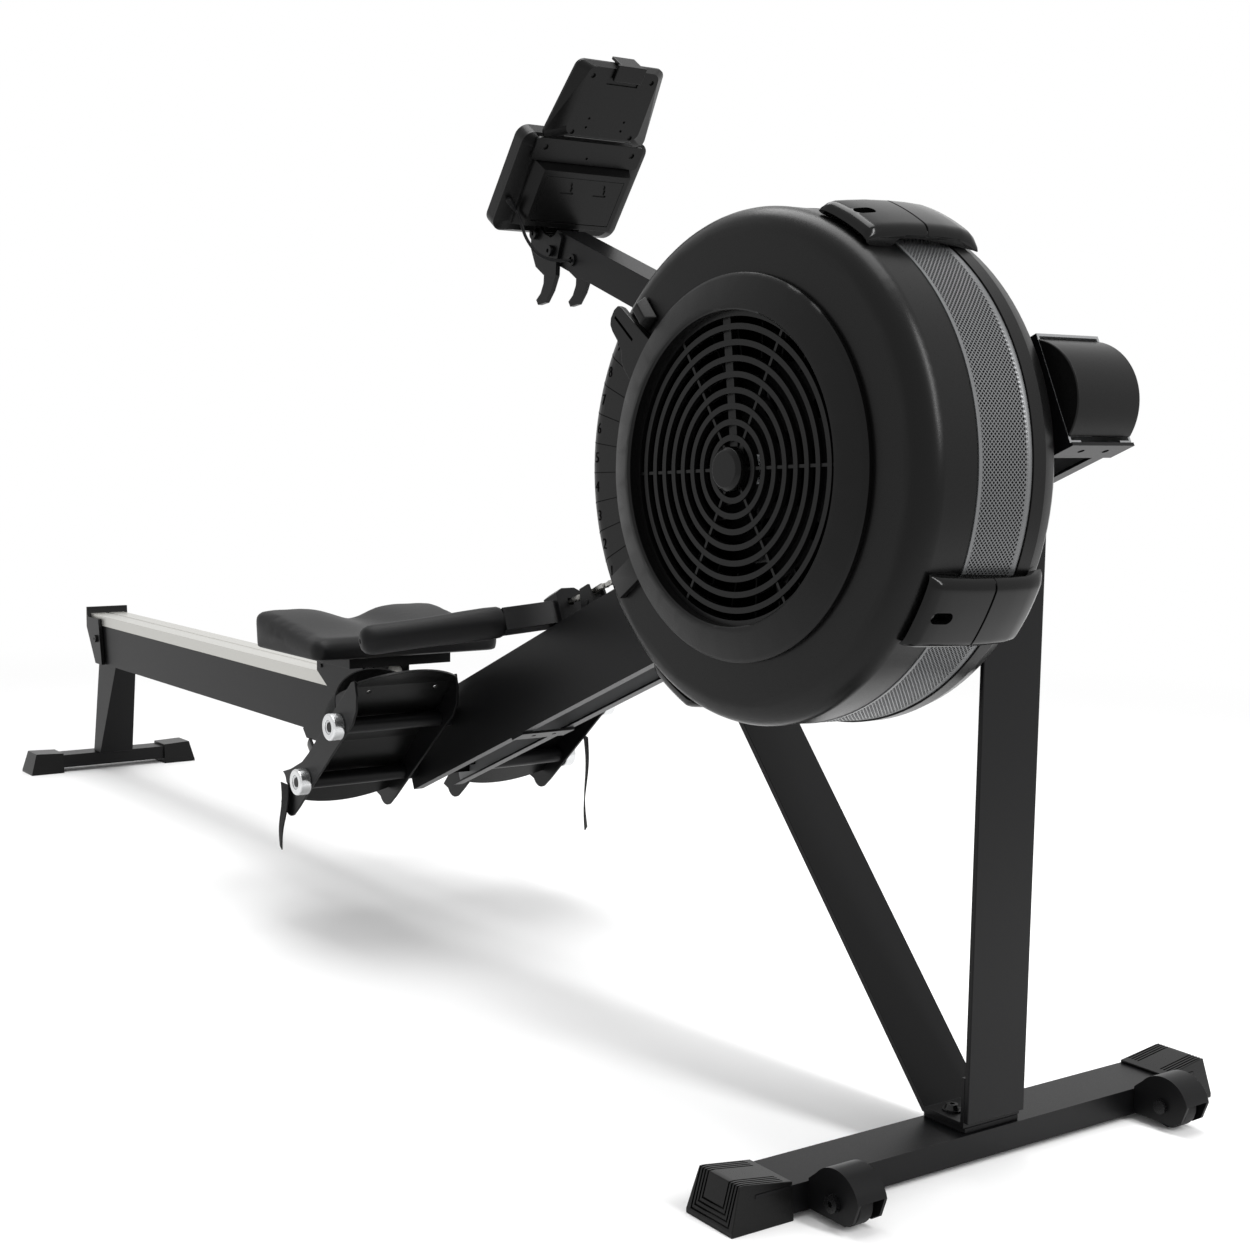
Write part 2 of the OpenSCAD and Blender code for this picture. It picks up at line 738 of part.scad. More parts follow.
module sensor_cable() {
    color(black) translate([tilt_x, 0, tilt_z]) {
        tube_along(smooth_path(cable_pts, 3), cable_r, 8);
        // plug on the monitor's back
        tube_along([plug_back, cable_pts[0]], 3.2, 12);
    }
}

// Monitor: x across, y up the screen, z from the screen glass to the back
module monitor_front() {
    t = mon_seam;
    color(black) in_monitor() difference() {
        translate([0, mon_h / 2, 0]) round_box([mon_w, mon_h, t], 14);
        translate([0, mon_h / 2, 2.5]) round_box([mon_w - 6, mon_h - 6, t], 11);
        // screen window
        translate([0, mon_h / 2 + 12, -1]) round_box([132, 74, 2.2], 3);
        for (x = button_x) translate([x, button_s, -1]) cylinder(r = button_r, h = 6);
        bracket_room();
    }
    color("dimgray") in_monitor() translate([-64, mon_h / 2 - 23, 0.8]) cube([128, 70, 0.7]);
}

module monitor_button(x) {
    color("gray") in_monitor() translate([x, button_s, -1.5]) {
        cylinder(r = button_r - 0.1, h = 4.5);
        translate([0, 0, 4]) cylinder(r = button_r + 1.4, h = 1.4);
    }
}
button_x = [-40, 0, 40];
button_s = 14;
button_r = 6.5;

module monitor_button_left() monitor_button(button_x[2]);
module monitor_button_middle() monitor_button(button_x[1]);
module monitor_button_right() monitor_button(button_x[0]);

// Back shell: tapers to the rear, carries the battery box and the tilt lugs
module monitor_back() {
    m1 = mon_back;
    color(black) in_monitor() {
        difference() {
            union() {
                hull() {
                    translate([0, mon_h / 2, mon_seam]) rounded_slice(mon_w, mon_h, 14, 4);
                    translate([0, mon_h / 2, m1 - 1]) rounded_slice(mon_w - 32, mon_h - 12, 12, 1);
                }
                hull() {
                    translate([-66, 14, m1]) cube([132, 82, 0.5]);
                    translate([-60, 22, box_m - 1]) cube([120, 71, 1]);
                }
            }
            translate([0, mon_h / 2, mon_seam - 1]) round_box([mon_w - 30, mon_h - 20, m1 - mon_seam - 1.5], 8);
            translate([-door_w / 2, door_s, m1 + 3]) cube([door_w, door_h, 30]);
            bracket_room();
        }
        for (x = [-19, 13.5]) translate([x, 0, 0]) tilt_lug();
    }
}
mon_seam = 14;
mon_back = 25;
box_m = 42;
door_w = 108;
door_s = 28;
door_h = 58;

module rounded_slice(w, h, r, t) linear_extrude(t) rounded(w, h, r, $fn = 32);

// Room in the monitor for the bracket's cheeks and its upper bolt
module bracket_room() {
    for (x = [arm_w / 2 - 0.6, -arm_w / 2 - 10.4]) translate([x, tilt_s, tilt_m])
        rotate([0, 90, 0]) cylinder(r = cheek_r + 1.5, h = 11);
    translate([-24, tilt_s, tilt_m]) rotate([0, 90, 0]) cylinder(r = 4, h = 48);
}

// Ear under the monitor's lower edge that turns on the bracket's upper bolt
tilt_s = (tilt_x - mon_x) * cos(mon_angle) + (tilt_z - mon_z) * sin(mon_angle);
tilt_m = (tilt_x - mon_x) * sin(mon_angle) - (tilt_z - mon_z) * cos(mon_angle);
module tilt_lug() {
    difference() {
        union() {
            translate([0, tilt_s, tilt_m]) rotate([0, 90, 0]) cylinder(r = 6.5, h = 5.5);
            translate([0, tilt_s, tilt_m - 4]) cube([5.5, 16, 8]);
        }
        translate([-1, tilt_s, tilt_m]) rotate([0, 90, 0]) cylinder(r = 4, h = 8);
    }
}

door_t = 2.5;
door_gap = 0.4;
door_hinge_s = door_s + door_gap + door_t / 2;
module battery_door() {
    color(black) in_monitor() translate([0, door_hinge_s, box_m - door_t / 2]) difference() {
        union() {
            translate([-door_w / 2 + door_gap, 0, -door_t / 2])
                cube([door_w - 2 * door_gap, door_s + door_h - door_gap - door_hinge_s, door_t]);
            // rounded lower edge that the door turns on
            translate([-door_w / 2 + door_gap, 0, 0]) rotate([0, 90, 0])
                cylinder(r = door_t / 2, h = door_w - 2 * door_gap);
        }
        // two finger latches: a round thumb recess over a slot
        for (x = [-20, 26]) translate([x, door_h - 13, door_t / 2 - 1.5]) {
            translate([-6, -7, 0]) cube([12, 7, 2]);
            translate([0, 2, 0]) cylinder(r = 4.5, h = 2);
            translate([-9, -9, 0]) cube([18, 2.5, 2]);
        }
    }
}

// Panel that holds a phone: a wide band on the monitor and a raised panel with bevelled edges
module phone_holder() {
    m0 = mon_back;
    color(black) in_monitor() difference() {
        union() {
            translate([0, 111, m0]) round_box([148, 28, 3], 5);
            hull() {
                translate([0, 172.5, m0 - 1]) tapered_slice(70, 60, 97, 3);
                translate([0, 178, panel_m - 2]) tapered_slice(50, 48, 82, 2);
            }
        }
        translate([-46, 132, m0 - 7]) cube([92, 84, panel_m - m0 + 4]);
        for (x = [-hole_x, hole_x], y = [140, 208]) translate([x, y, panel_m - blind]) cylinder(r = 3, h = 4);
        for (x = [-24, 24], y = [147, 158]) translate([x, y, panel_m - blind]) cylinder(r = 1.5, h = 4);
        translate([-19, 200, panel_m - 1.5]) cube([42, 8, 4]);
        for (x = [-60, 60]) translate([x, 114, m0 + 1]) cylinder(r = 3.5, h = 4);
        translate([0, 105, m0 + 1]) cylinder(r = 1.6, h = 4);
    }
}
panel_m = 37;
blind = 2;
hole_x = 40;

// A thin plate with rounded corners, half-width w0 at its lower edge and w1 at its upper edge
module tapered_slice(w0, w1, h, t) {
    r = 10;
    hull() for (x = [-1, 1]) {
        translate([x * (w0 - r), -h / 2 + r, 0]) cylinder(r = r, h = t, $fn = 32);
        translate([x * (w1 - r), h / 2 - r, 0]) cylinder(r = r, h = t, $fn = 32);
    }
}

// Sprung tab that grips the top of a phone
module phone_clamp() {
    color(black) in_monitor() {
        translate([-14, 206, panel_m + 0.3]) cube([38, 18.9, 4]);
        translate([-10, 221.3, panel_m - 20]) cube([30, 3.6, 24.3]);
    }
}

module chain_guide() {
    u = 437;
    color(black) in_beam() {
        both_sides() difference() {
            slab(-11, -8) polygon([[u - 16, beam_d], [u + 16, beam_d], [u + 9, beam_d + 34], [u - 9, beam_d + 34]]);
            translate([u, 0, beam_d + 15]) pin(3, -20, 20);
        }
        translate([u, 0, beam_d + 15]) pin(7.5, -8, 8);
        translate([u, 0, beam_d + 15]) pin(3, -12, 12);
    }
}

// Handle: a centre block, two links and swept-back bars under the grips
sweep = 15.5;
handle_u = 375;
handle_n = 120;
module handle_half() {
    rotate([0, 0, -sweep]) children();
}
module handle_bar() {
    color(black) in_beam() translate([handle_u, 0, handle_n]) {
        difference() {
            translate([-13, -18, -21.7]) cube([29, 36, 48]);
            // sloped shoulders
            for (y = [-1, 1]) translate([-20, y * 18, 26.3]) rotate([-y * 30, 0, 0]) translate([0, -8, -4.5])
                cube([45, 16, 14]);
            // pocket for the chain's end
            translate([chain_u0 - handle_u - 4.6, -3.6, chain_n0 - handle_n - 4]) cube([10, 7.2, 8]);
        }
        both_sides() handle_half() {
            translate([-14, -80, -14]) cube([26, 72, 28]);
            pin(9, -handle_w / 2 - 6, -60);
        }
    }
}

module handle_grips() {
    color(black) in_beam() translate([handle_u, 0, handle_n]) both_sides() handle_half() {
        turned() polygon([[9, -handle_w / 2 - 8], [grip_r - 5, -handle_w / 2 - 8], [grip_r, -handle_w / 2 - 3],
            [grip_r, -140], [grip_r + 1.5, -110], [grip_r, -84], [grip_r - 1, -80.2], [9, -80.2]]);
    }
}

// Straight run of roller chain, from the handle to the top of the sprocket
module chain() {
    run = norm([axle_u - chain_u0, (axle_u - chain_u0) * chain_slope]);
    count = floor(run / chain_pitch);
    color(silver) in_beam() translate([chain_u0, 0, chain_n0]) rotate([0, atan(chain_slope), 0]) {
        translate([-4, -3.2, -chain_t / 2]) cube([run + 4, 6.4, chain_t]);
        for (i = [0:count - 1]) translate([(i + 0.5) * chain_pitch, 0, 0]) pin(2.6, -chain_w / 2, chain_w / 2);
    }
}

module rail_cradle() {
    w = rail_w / 2 + 3.3;
    color(black) difference() {
        slab(-w, w) polygon([[cradle_x0, rail_z0], [cradle_x0 + 12, rail_z0 - 13], [cradle_x1, rail_z0 - 13],
            [cradle_x1, rail_z0 + 22], [cradle_x0 + 70, rail_z0 + 22]]);
        translate([cradle_x0 - 20, -rail_w / 2, rail_z0]) cube([500, rail_w, 60]);
        translate([cradle_x0 + 20, -rail_w / 2, rail_z0 - 20]) cube([40, rail_w, 17]);
        for (x = rail_bolts) translate([x, 0, rail_z0 + 12]) pin(3.2, -60, 60);
        translate([rest_x, 0, rest_z]) pin(rest_r + 0.05, -60, 60);
    }
}

module seat_rail() {
    h = rail_h - track_h;
    color(black) difference() {
        slab(-rail_w / 2, rail_w / 2) polygon([[rail_x0 - 6, rail_z0 + h], [rail_x0 + 32, rail_z0],
            [rail_x1, rail_z0], [rail_x1, rail_z0 + h]]);
        translate([rail_x0 - 50, -rail_w / 2 + rail_t, rail_z0 + rail_t])
            cube([rail_x1 - rail_x0 + 100, rail_w - 2 * rail_t, h - 2 * rail_t]);
        for (x = rail_bolts) translate([x, 0, rail_z0 + 12]) pin(3.2, -60, 60);
    }
}

module rail_track() {
    w = rail_w / 2 + 1;
    color(silver) difference() {
        slab(-w, w) polygon([[rail_x0 - 14, rail_top], [rail_x0 - 6, rail_top - track_h],
            [rail_x1, rail_top - track_h], [rail_x1, rail_top]]);
        translate([rail_x0 - 50, -w + 3, rail_top - track_h - 1])
            cube([rail_x1 - rail_x0 + 100, 2 * w - 6, track_h - 3]);
        translate([rail_x0 - 50, -3, rail_top - 1.5]) cube([rail_x1 - rail_x0 + 100, 6, 3]);
    }
}

// Slanted stop plate at the rail's rear end, with cheeks on the rail's sides
module rail_end_cap() {
    w = 40;
    cheek = rail_w / 2 + 1.2;
    back = [[rail_x0 - 19, rail_top + 12], [rail_x0 - 15, rail_top + 12], [rail_x0 - 14.2, rail_top],
        [rail_x0 - 6.2, rail_top - track_h], [rail_x0 + 31.8, rail_z0], [rail_x0 + 27, rail_z0],
        [rail_x0 - 19, rail_top - track_h - 6]];
    color(black) {
        slab(-w, w) polygon(back);
        both_sides() difference() {
            slab(cheek, w) polygon([[rail_x0 - 15, rail_top - 6], [rail_x0 + 44, rail_top - 6],
                [rail_x0 + 60, rail_z0], [rail_x0 + 30, rail_z0]]);
            translate([rail_x0 + 32, 0, rail_top - 44]) pin(4, 0, 60);
        }
    }
    color(silver) both_sides() translate([rail_x0 + 32, 0, rail_top - 44]) {
        pin(3.9, rail_w / 2, w);
        difference() {
            pin(7, w, w + 4);
            pin(2.4, w + 2, w + 5);
        }
    }
}

// Folded leg, deep and narrow at the rail, shallow and wide at the floor
module rear_leg() {
    z1 = rail_z0;
    z0 = rear_z0 + rear_h;
    x0 = rear_x + 1;
    color(black) difference() {
        leg_body(x0, z0, z1, 0);
        leg_body(x0 + 3, z0 - 1, z1 - 4, 3);
    }
}
module leg_body(x0, z0, z1, inset) {
    top = 19.5 - inset;
    bot = 32.5 - inset;
    intersection() {
        slab(-60, 60) polygon([[x0, z0], [x0 + 36 - 2 * inset, z0], [x0 + 92 - 2 * inset, z1], [x0, z1]]);
        translate([x0 - 1, 0, 0]) rotate([90, 0, 90]) linear_extrude(100)
            polygon([[-bot, z0], [bot, z0], [top, z1], [-top, z1]]);
    }
}

module rear_foot_bar() {
    color(black) difference() {
        translate([rear_x - rear_d / 2, -rear_w / 2 + 24, rear_z0]) cube([rear_d, rear_w - 48, rear_h]);
        translate([rear_x - rear_d / 2 + 2, -rear_w / 2 + 23, rear_z0 + 2])
            cube([rear_d - 4, rear_w - 46, rear_h - 4]);
    }
}

module rear_foot_caps() {
    color(black) both_sides() translate([rear_x, -rear_w / 2, 0])
        foot_cap(58, rear_cap_l, 39, 37, rear_d, rear_z0, rear_z0 + rear_h, rear_cap_l - 24);
}

// Carriage: top plate, side plates that reach down beside the rail, and roller pins
module seat_carriage() {
    side = rail_w / 2 + 2.5;
    mid = (roller_x[0] + roller_x[1]) / 2;
    color(black) {
        translate([roller_x[0] - 16, -46, plate_top_z]) cube([roller_x[1] - roller_x[0] + 32, 92, 3]);
        translate([seat_x - 70, -80, plate_top_z + 3]) cube([140, 160, seat_z - plate_top_z - 3.3]);
        both_sides() {
            difference() {
                slab(side, side + 3) polygon([[roller_x[0] - 14, plate_top_z], [roller_x[0] - 14, rail_top + 2],
                    [mid - 22, rail_top - 27], [mid + 22, rail_top - 27],
                    [roller_x[1] + 14, rail_top + 2], [roller_x[1] + 14, plate_top_z]]);
                for (x = roller_x) translate([x, 0, rail_top + roller_r]) pin(3, 0, 60);
            }
            translate([mid - 20, side - 1.2, rail_top - 26]) cube([40, 1.2, 8]);
        }
        for (x = roller_x) translate([x, 0, rail_top + roller_r]) pin(3, -side - 5, side + 5);
    }
}

module roller_pair() {
    color("white") for (y = [-22, 22]) translate([0, y, 0]) turned()
        polygon([[3 + run_gap, -7], [roller_r - 1.1, -7], [roller_r - 0.1, -6], [roller_r - 0.1, 6],
            [roller_r - 1.1, 7], [3 + run_gap, 7]]);
}
module seat_rollers_rear() translate([roller_x[0], 0, rail_top + roller_r]) roller_pair();
module seat_rollers_front() translate([roller_x[1], 0, rail_top + roller_r]) roller_pair();

// Simple closed body of the cushion, with two humps
module seat_pad() {
    r = 26;
    color(black) hull() {
        for (x = [-1, 1], y = [-1, 1]) {
            translate([seat_x + x * (seat_d / 2 - r), y * (seat_w / 2 - r), seat_z]) {
                cylinder(r = r, h = 38, $fn = 32);
            }
        }
        for (y = [-1, 1]) translate([seat_x - 60, y * 72, seat_z + 38]) sphere(r = 15, $fn = 24);
        for (y = [-1, 1]) translate([seat_x + 70, y * 100, seat_z + 28]) sphere(r = 15, $fn = 24);
    }
}

// Side plate outline, drawn up the plate from the lower axle: a long blade whose
// lower end spreads into a horn and a lobe
module side_outline() {
    difference() {
        union() {
            polygon([[-48, 25], [-54, 50], [-27, 37], [8, 25], [30, 23], [188, 22], [196, 18],
                [188, 2], [174, -12], [155, -18], [120, -16], [0, -14], [-40, -14], [-58, -13]]);
            translate([-58, 5]) circle(18);
            polygon([[-60, 23], [-82, 21], [-76, 10], [-40, -12], [-40, 24]]);
        }
        translate([-62, 40]) circle(15);
    }
}

module foot_side_plates() {
    color(black) both_sides() in_rest() for (y = rest_y) difference() {
        slab(y, y + side_t) side_outline();
        for (s = [0, rest_pitch]) translate([s, 0, 0]) pin(rest_r, 0, 300);
    }
}

module foot_axles() {
    y = rest_y[1] + side_t;
    color(black) in_rest() for (s = [0, rest_pitch]) translate([s, 0, 0]) {
        pin(rest_r, -y - 14, y + 14);
        both_sides() {
            pin(10, rest_y[0] + side_t, rest_y[1]);
            pin(11, beam_w / 2, rest_y[0]);
        }
    }
}

module foot_spacers() {
    y = rest_y[1] + side_t;
    color(silver) both_sides() in_rest() for (s = [0, rest_pitch]) translate([s, 0, 0]) {
        turned() polygon([[rest_r, y], [spacer_r, y], [spacer_r, y + 14], [spacer_r - 1.5, y + 15.5],
            [rest_r + 3, y + 15.5], [rest_r + 3, y + 13], [rest_r, y + 13]]);
    }
}

// Moulded board that the shoe rests on: three shallow waves and a lip under the heel
function board_w(a) = a > 0 ? 17 - 5.5 * abs(cos(a * 180 / rest_pitch)) - (a > 150 ? (a - 150) * 0.06 : 0)
    : 11.5 + a * 0.11;
board_top = 221;
board_low = -66;
crown_top_r = 110;
crown_low_r = 160;
board_s = [for (a = [board_low - 2:4:board_top + 4]) a];
module board_outline() {
    polygon(concat([for (a = board_s) [a, board_w(a)]],
        [for (i = [len(board_s) - 1:-1:0]) [board_s[i], board_w(board_s[i]) + board_t]]));
}
board_t = 3.5;

module footboards() {
    y0 = rest_y[0] + side_t;
    y1 = rest_y[1];
    color(black) both_sides() in_rest() difference() {
        intersection() {
            slab(y0, y1) board_outline();
            // crowned upper and lower ends
            translate([0, (y0 + y1) / 2, -60]) linear_extrude(140) intersection() {
                translate([board_low, -(y1 - y0) / 2]) square([board_top - board_low, y1 - y0]);
                union() {
                    translate([board_top - crown_top_r, 0]) circle(crown_top_r);
                    translate([board_low + crown_low_r, 0]) intersection() {
                        circle(crown_low_r);
                        translate([-2 * crown_low_r, -crown_low_r]) square(2 * crown_low_r);
                    }
                }
            }
        }
        for (y = [y0 + 22, y1 - 24]) translate([176, y, 0]) cylinder(r = 3, h = 60);
    }
}

// Heel cup that slides on the board; its wall turns up behind the heel
module heel_cup() {
    mid = (rest_y[0] + side_t + rest_y[1]) / 2;
    w = 96;
    z0 = 21;
    color(black) in_rest() difference() {
        union() {
            translate([-44, mid - w / 2, z0]) cube([120, w, 4]);
            intersection() {
                translate([4, mid, z0]) difference() {
                    cylinder(r = w / 2, h = 42);
                    translate([0, 0, 4]) cylinder(r = w / 2 - 4, h = 42);
                }
                translate([-60, mid - w, z0 - 3]) cube([62, 2 * w, 60]);
            }
        }
        for (s = [22:14:64]) translate([s, mid, z0 - 1]) cylinder(r = 3.5, h = 10);
    }
}
module heel_cup_right() mirror([0, 1, 0]) heel_cup();
module heel_cup_left() heel_cup();

// Webbing over the instep, through the board's edges, with its loose end hanging
module foot_straps() {
    y0 = rest_y[0] + side_t + 0.3;
    y1 = rest_y[1] - 0.3;
    mid = (y0 + y1) / 2;
    r = (y1 - y0) / 2;
    color(black) both_sides() {
        in_rest() translate([86, mid, 18.2]) rotate([90, 0, 90]) linear_extrude(38) {
            difference() {
                union() {
                    intersection() {
                        translate([0, -10]) circle(r);
                        translate([-r, 0]) square([2 * r, r]);
                    }
                    translate([-r, 0]) square([2 * r, 2]);
                }
                intersection() {
                    translate([0, -10]) circle(r - 1.6);
                    translate([-r, 1.6]) square([2 * r, r]);
                }
            }
        }
    }
    color(black) {
        strap_tail([rest_x - 58, -rest_y[1] - side_t - 6.3, rest_z - 98], 84, -25);
        strap_tail([rest_x + 54, rest_y[1] + side_t + 6.1, rest_z - 96], 130, -35);
    }
}

// Loose end of a strap, hanging with its edge forward
module strap_tail(foot, l, turn) {
    translate(foot) rotate([0, 0, turn]) translate([-12, -0.8, 0]) cube([24, 1.6, l]);
}

front_foot_bar();
front_foot_caps();
foot_packer();
frame_bolts();
wheel_brackets();
transport_wheel_right();
transport_wheel_left();
front_post();
rear_strut();
main_beam();
beam_nose();
bearing_blocks();
fan_axle();
flywheel();
chain_sprocket();
nose_pulley();
inner_chain();
return_cord();
fan_housing_right();
fan_grille();
hub_cap();
damper_ring();
mesh_band();
fan_housing_left();
housing_clamps();
clamp_screws();
arm_lugs();
monitor_arm();
monitor_bracket();
sensor_cable();
monitor_back();
monitor_front();
monitor_button_left();
monitor_button_middle();
monitor_button_right();
battery_door();
phone_holder();
phone_clamp();
chain_guide();
handle_bar();
handle_grips();
chain();
rail_cradle();
seat_rail();
rail_track();
rail_end_cap();
rear_leg();
rear_foot_bar();
rear_foot_caps();
seat_carriage();
seat_rollers_rear();
seat_rollers_front();
seat_pad();
foot_side_plates();
foot_axles();
foot_spacers();
footboards();
heel_cup_right();
heel_cup_left();
foot_straps();
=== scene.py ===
import json
import math
import bmesh
import bpy
import numpy as np
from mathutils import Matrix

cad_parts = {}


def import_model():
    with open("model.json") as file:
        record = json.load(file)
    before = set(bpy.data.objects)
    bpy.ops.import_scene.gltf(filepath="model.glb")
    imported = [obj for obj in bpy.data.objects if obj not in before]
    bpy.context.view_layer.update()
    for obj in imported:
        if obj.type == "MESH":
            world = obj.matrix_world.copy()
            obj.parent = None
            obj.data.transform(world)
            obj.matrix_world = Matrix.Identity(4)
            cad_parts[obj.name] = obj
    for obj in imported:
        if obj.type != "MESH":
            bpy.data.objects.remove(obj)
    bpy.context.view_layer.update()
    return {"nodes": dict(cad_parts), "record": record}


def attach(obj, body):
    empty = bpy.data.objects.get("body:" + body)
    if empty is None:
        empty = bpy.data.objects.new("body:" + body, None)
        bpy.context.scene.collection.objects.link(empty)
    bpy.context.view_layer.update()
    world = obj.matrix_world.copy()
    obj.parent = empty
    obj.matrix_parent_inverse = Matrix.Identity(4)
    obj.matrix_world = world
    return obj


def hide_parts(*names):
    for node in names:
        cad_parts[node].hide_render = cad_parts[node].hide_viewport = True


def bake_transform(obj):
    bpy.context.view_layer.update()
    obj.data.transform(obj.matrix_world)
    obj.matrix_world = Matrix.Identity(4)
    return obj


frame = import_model()
mm = 0.001


def hexLinear(code):
    # sRGB hex to linear rgb with alpha
    rgb = np.array([int(code[i:i + 2], 16) for i in (1, 3, 5)]) / 255
    lin = np.where(rgb <= 0.04045, rgb / 12.92, ((rgb + 0.055) / 1.055) ** 2.4)
    return tuple(float(v) for v in lin) + (1.0,)


# one node with its settings, its fixed inputs and its links
def addNode(tree, kind, links=None, values=None, **settings):
    node = tree.nodes.new(kind)
    for key, value in settings.items():
        setattr(node, key, value)
    for key, value in (values or {}).items():
        node.inputs[key].default_value = value
    for key, socket in (links or {}).items():
        tree.links.new(socket, node.inputs[key])
    return node


def gridFaces(rows, cols, closeRows=False, closeCols=False):
    # quads between neighbours of a rows by cols grid of points
    i = np.arange(rows if closeRows else rows - 1)[:, None]
    j = np.arange(cols if closeCols else cols - 1)[None, :]
    a, b = i * cols + j, i * cols + (j + 1) % cols
    c, d = ((i + 1) % rows) * cols + (j + 1) % cols, ((i + 1) % rows) * cols + j
    return np.stack([a, b, c, d], -1).reshape(-1, 4).tolist()


def makePiece(name, points, faces, material, slotName, body=None, sharp=35):
    # points and faces become an object with its material and the body it rides
    mesh = bpy.data.meshes.new(name)
    mesh.from_pydata(np.asarray(points, float).reshape(-1, 3).tolist(), [], faces)
    piece = bpy.data.objects.new(name, mesh)
    bpy.context.scene.collection.objects.link(piece)
    mesh.materials.append(material)
    outward(mesh)
    shadeByAngle(mesh, sharp)
    if body:
        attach(piece, body)
    return piece


def outward(mesh):
    # every face of a closed shape is turned to look out of it
    work = bmesh.new()
    work.from_mesh(mesh)
    bmesh.ops.recalc_face_normals(work, faces=work.faces)
    work.to_mesh(mesh)
    work.free()


def shadeByAngle(mesh, degrees):
    # smooth faces, with a sharp edge wherever two meet at more than the angle
    mesh.polygons.foreach_set("use_smooth", np.ones(len(mesh.polygons), bool))
    mesh.set_sharp_from_angle(angle=math.radians(degrees))
    mesh.update()


def applyModifiers(piece):
    # the shape that the modifiers give becomes the piece's own mesh
    graph = bpy.context.evaluated_depsgraph_get()
    mesh = bpy.data.meshes.new_from_object(piece.evaluated_get(graph))
    old = piece.data
    piece.modifiers.clear()
    piece.data = mesh
    bpy.data.meshes.remove(old)


def mergeClose(mesh, reach=0.00001):
    # points closer than the reach become one, then the faces are turned outwards
    work = bmesh.new()
    work.from_mesh(mesh)
    bmesh.ops.remove_doubles(work, verts=work.verts, dist=reach)
    bmesh.ops.recalc_face_normals(work, faces=work.faces)
    work.to_mesh(mesh)
    work.free()


def cutOut(piece, points, faces, name, sharp=32):
    # takes a closed cutter away from the piece and keeps the result as its mesh
    mesh = bpy.data.meshes.new(name)
    mesh.from_pydata(np.asarray(points, float).tolist(), [], faces)
    outward(mesh)
    cutter = bpy.data.objects.new(name, mesh)
    bpy.context.scene.collection.objects.link(cutter)
    take = piece.modifiers.new("cut", "BOOLEAN")
    take.operation, take.object, take.solver = "DIFFERENCE", cutter, "EXACT"
    take.use_self = True
    applyModifiers(piece)
    bpy.data.objects.remove(cutter)
    bpy.data.meshes.remove(mesh)
    shadeByAngle(piece.data, sharp)
    even = piece.modifiers.new("evenShading", "WEIGHTED_NORMAL")
    even.keep_sharp = True
    applyModifiers(piece)


def box(low, high):
    # the eight corners and six faces between two opposite corners
    (a, b, c), (d, e, f) = low, high
    points = [(x, y, z) for z in (c, f) for x, y in ((a, b), (d, b), (d, e), (a, e))]
    faces = [[3, 2, 1, 0], [4, 5, 6, 7]] + [[k, (k + 1) % 4, 4 + (k + 1) % 4, 4 + k] for k in range(4)]
    return points, faces


def joined(parts):
    # several lots of points and faces as one, each lot's faces counted on from the last
    points, faces, total = [], [], 0
    for p, f in parts:
        p = np.asarray(p, float).reshape(-1, 3)
        faces += [[k + total for k in face] for face in f]
        points.append(p)
        total += len(p)
    return np.concatenate(points), faces


def prism(low, high):
    # two like outlines joined by side faces and closed by one face each
    n = len(low)
    faces = gridFaces(2, n, closeCols=True) + [list(range(n))[::-1], list(range(n, 2 * n))]
    return np.concatenate([low, high]), faces


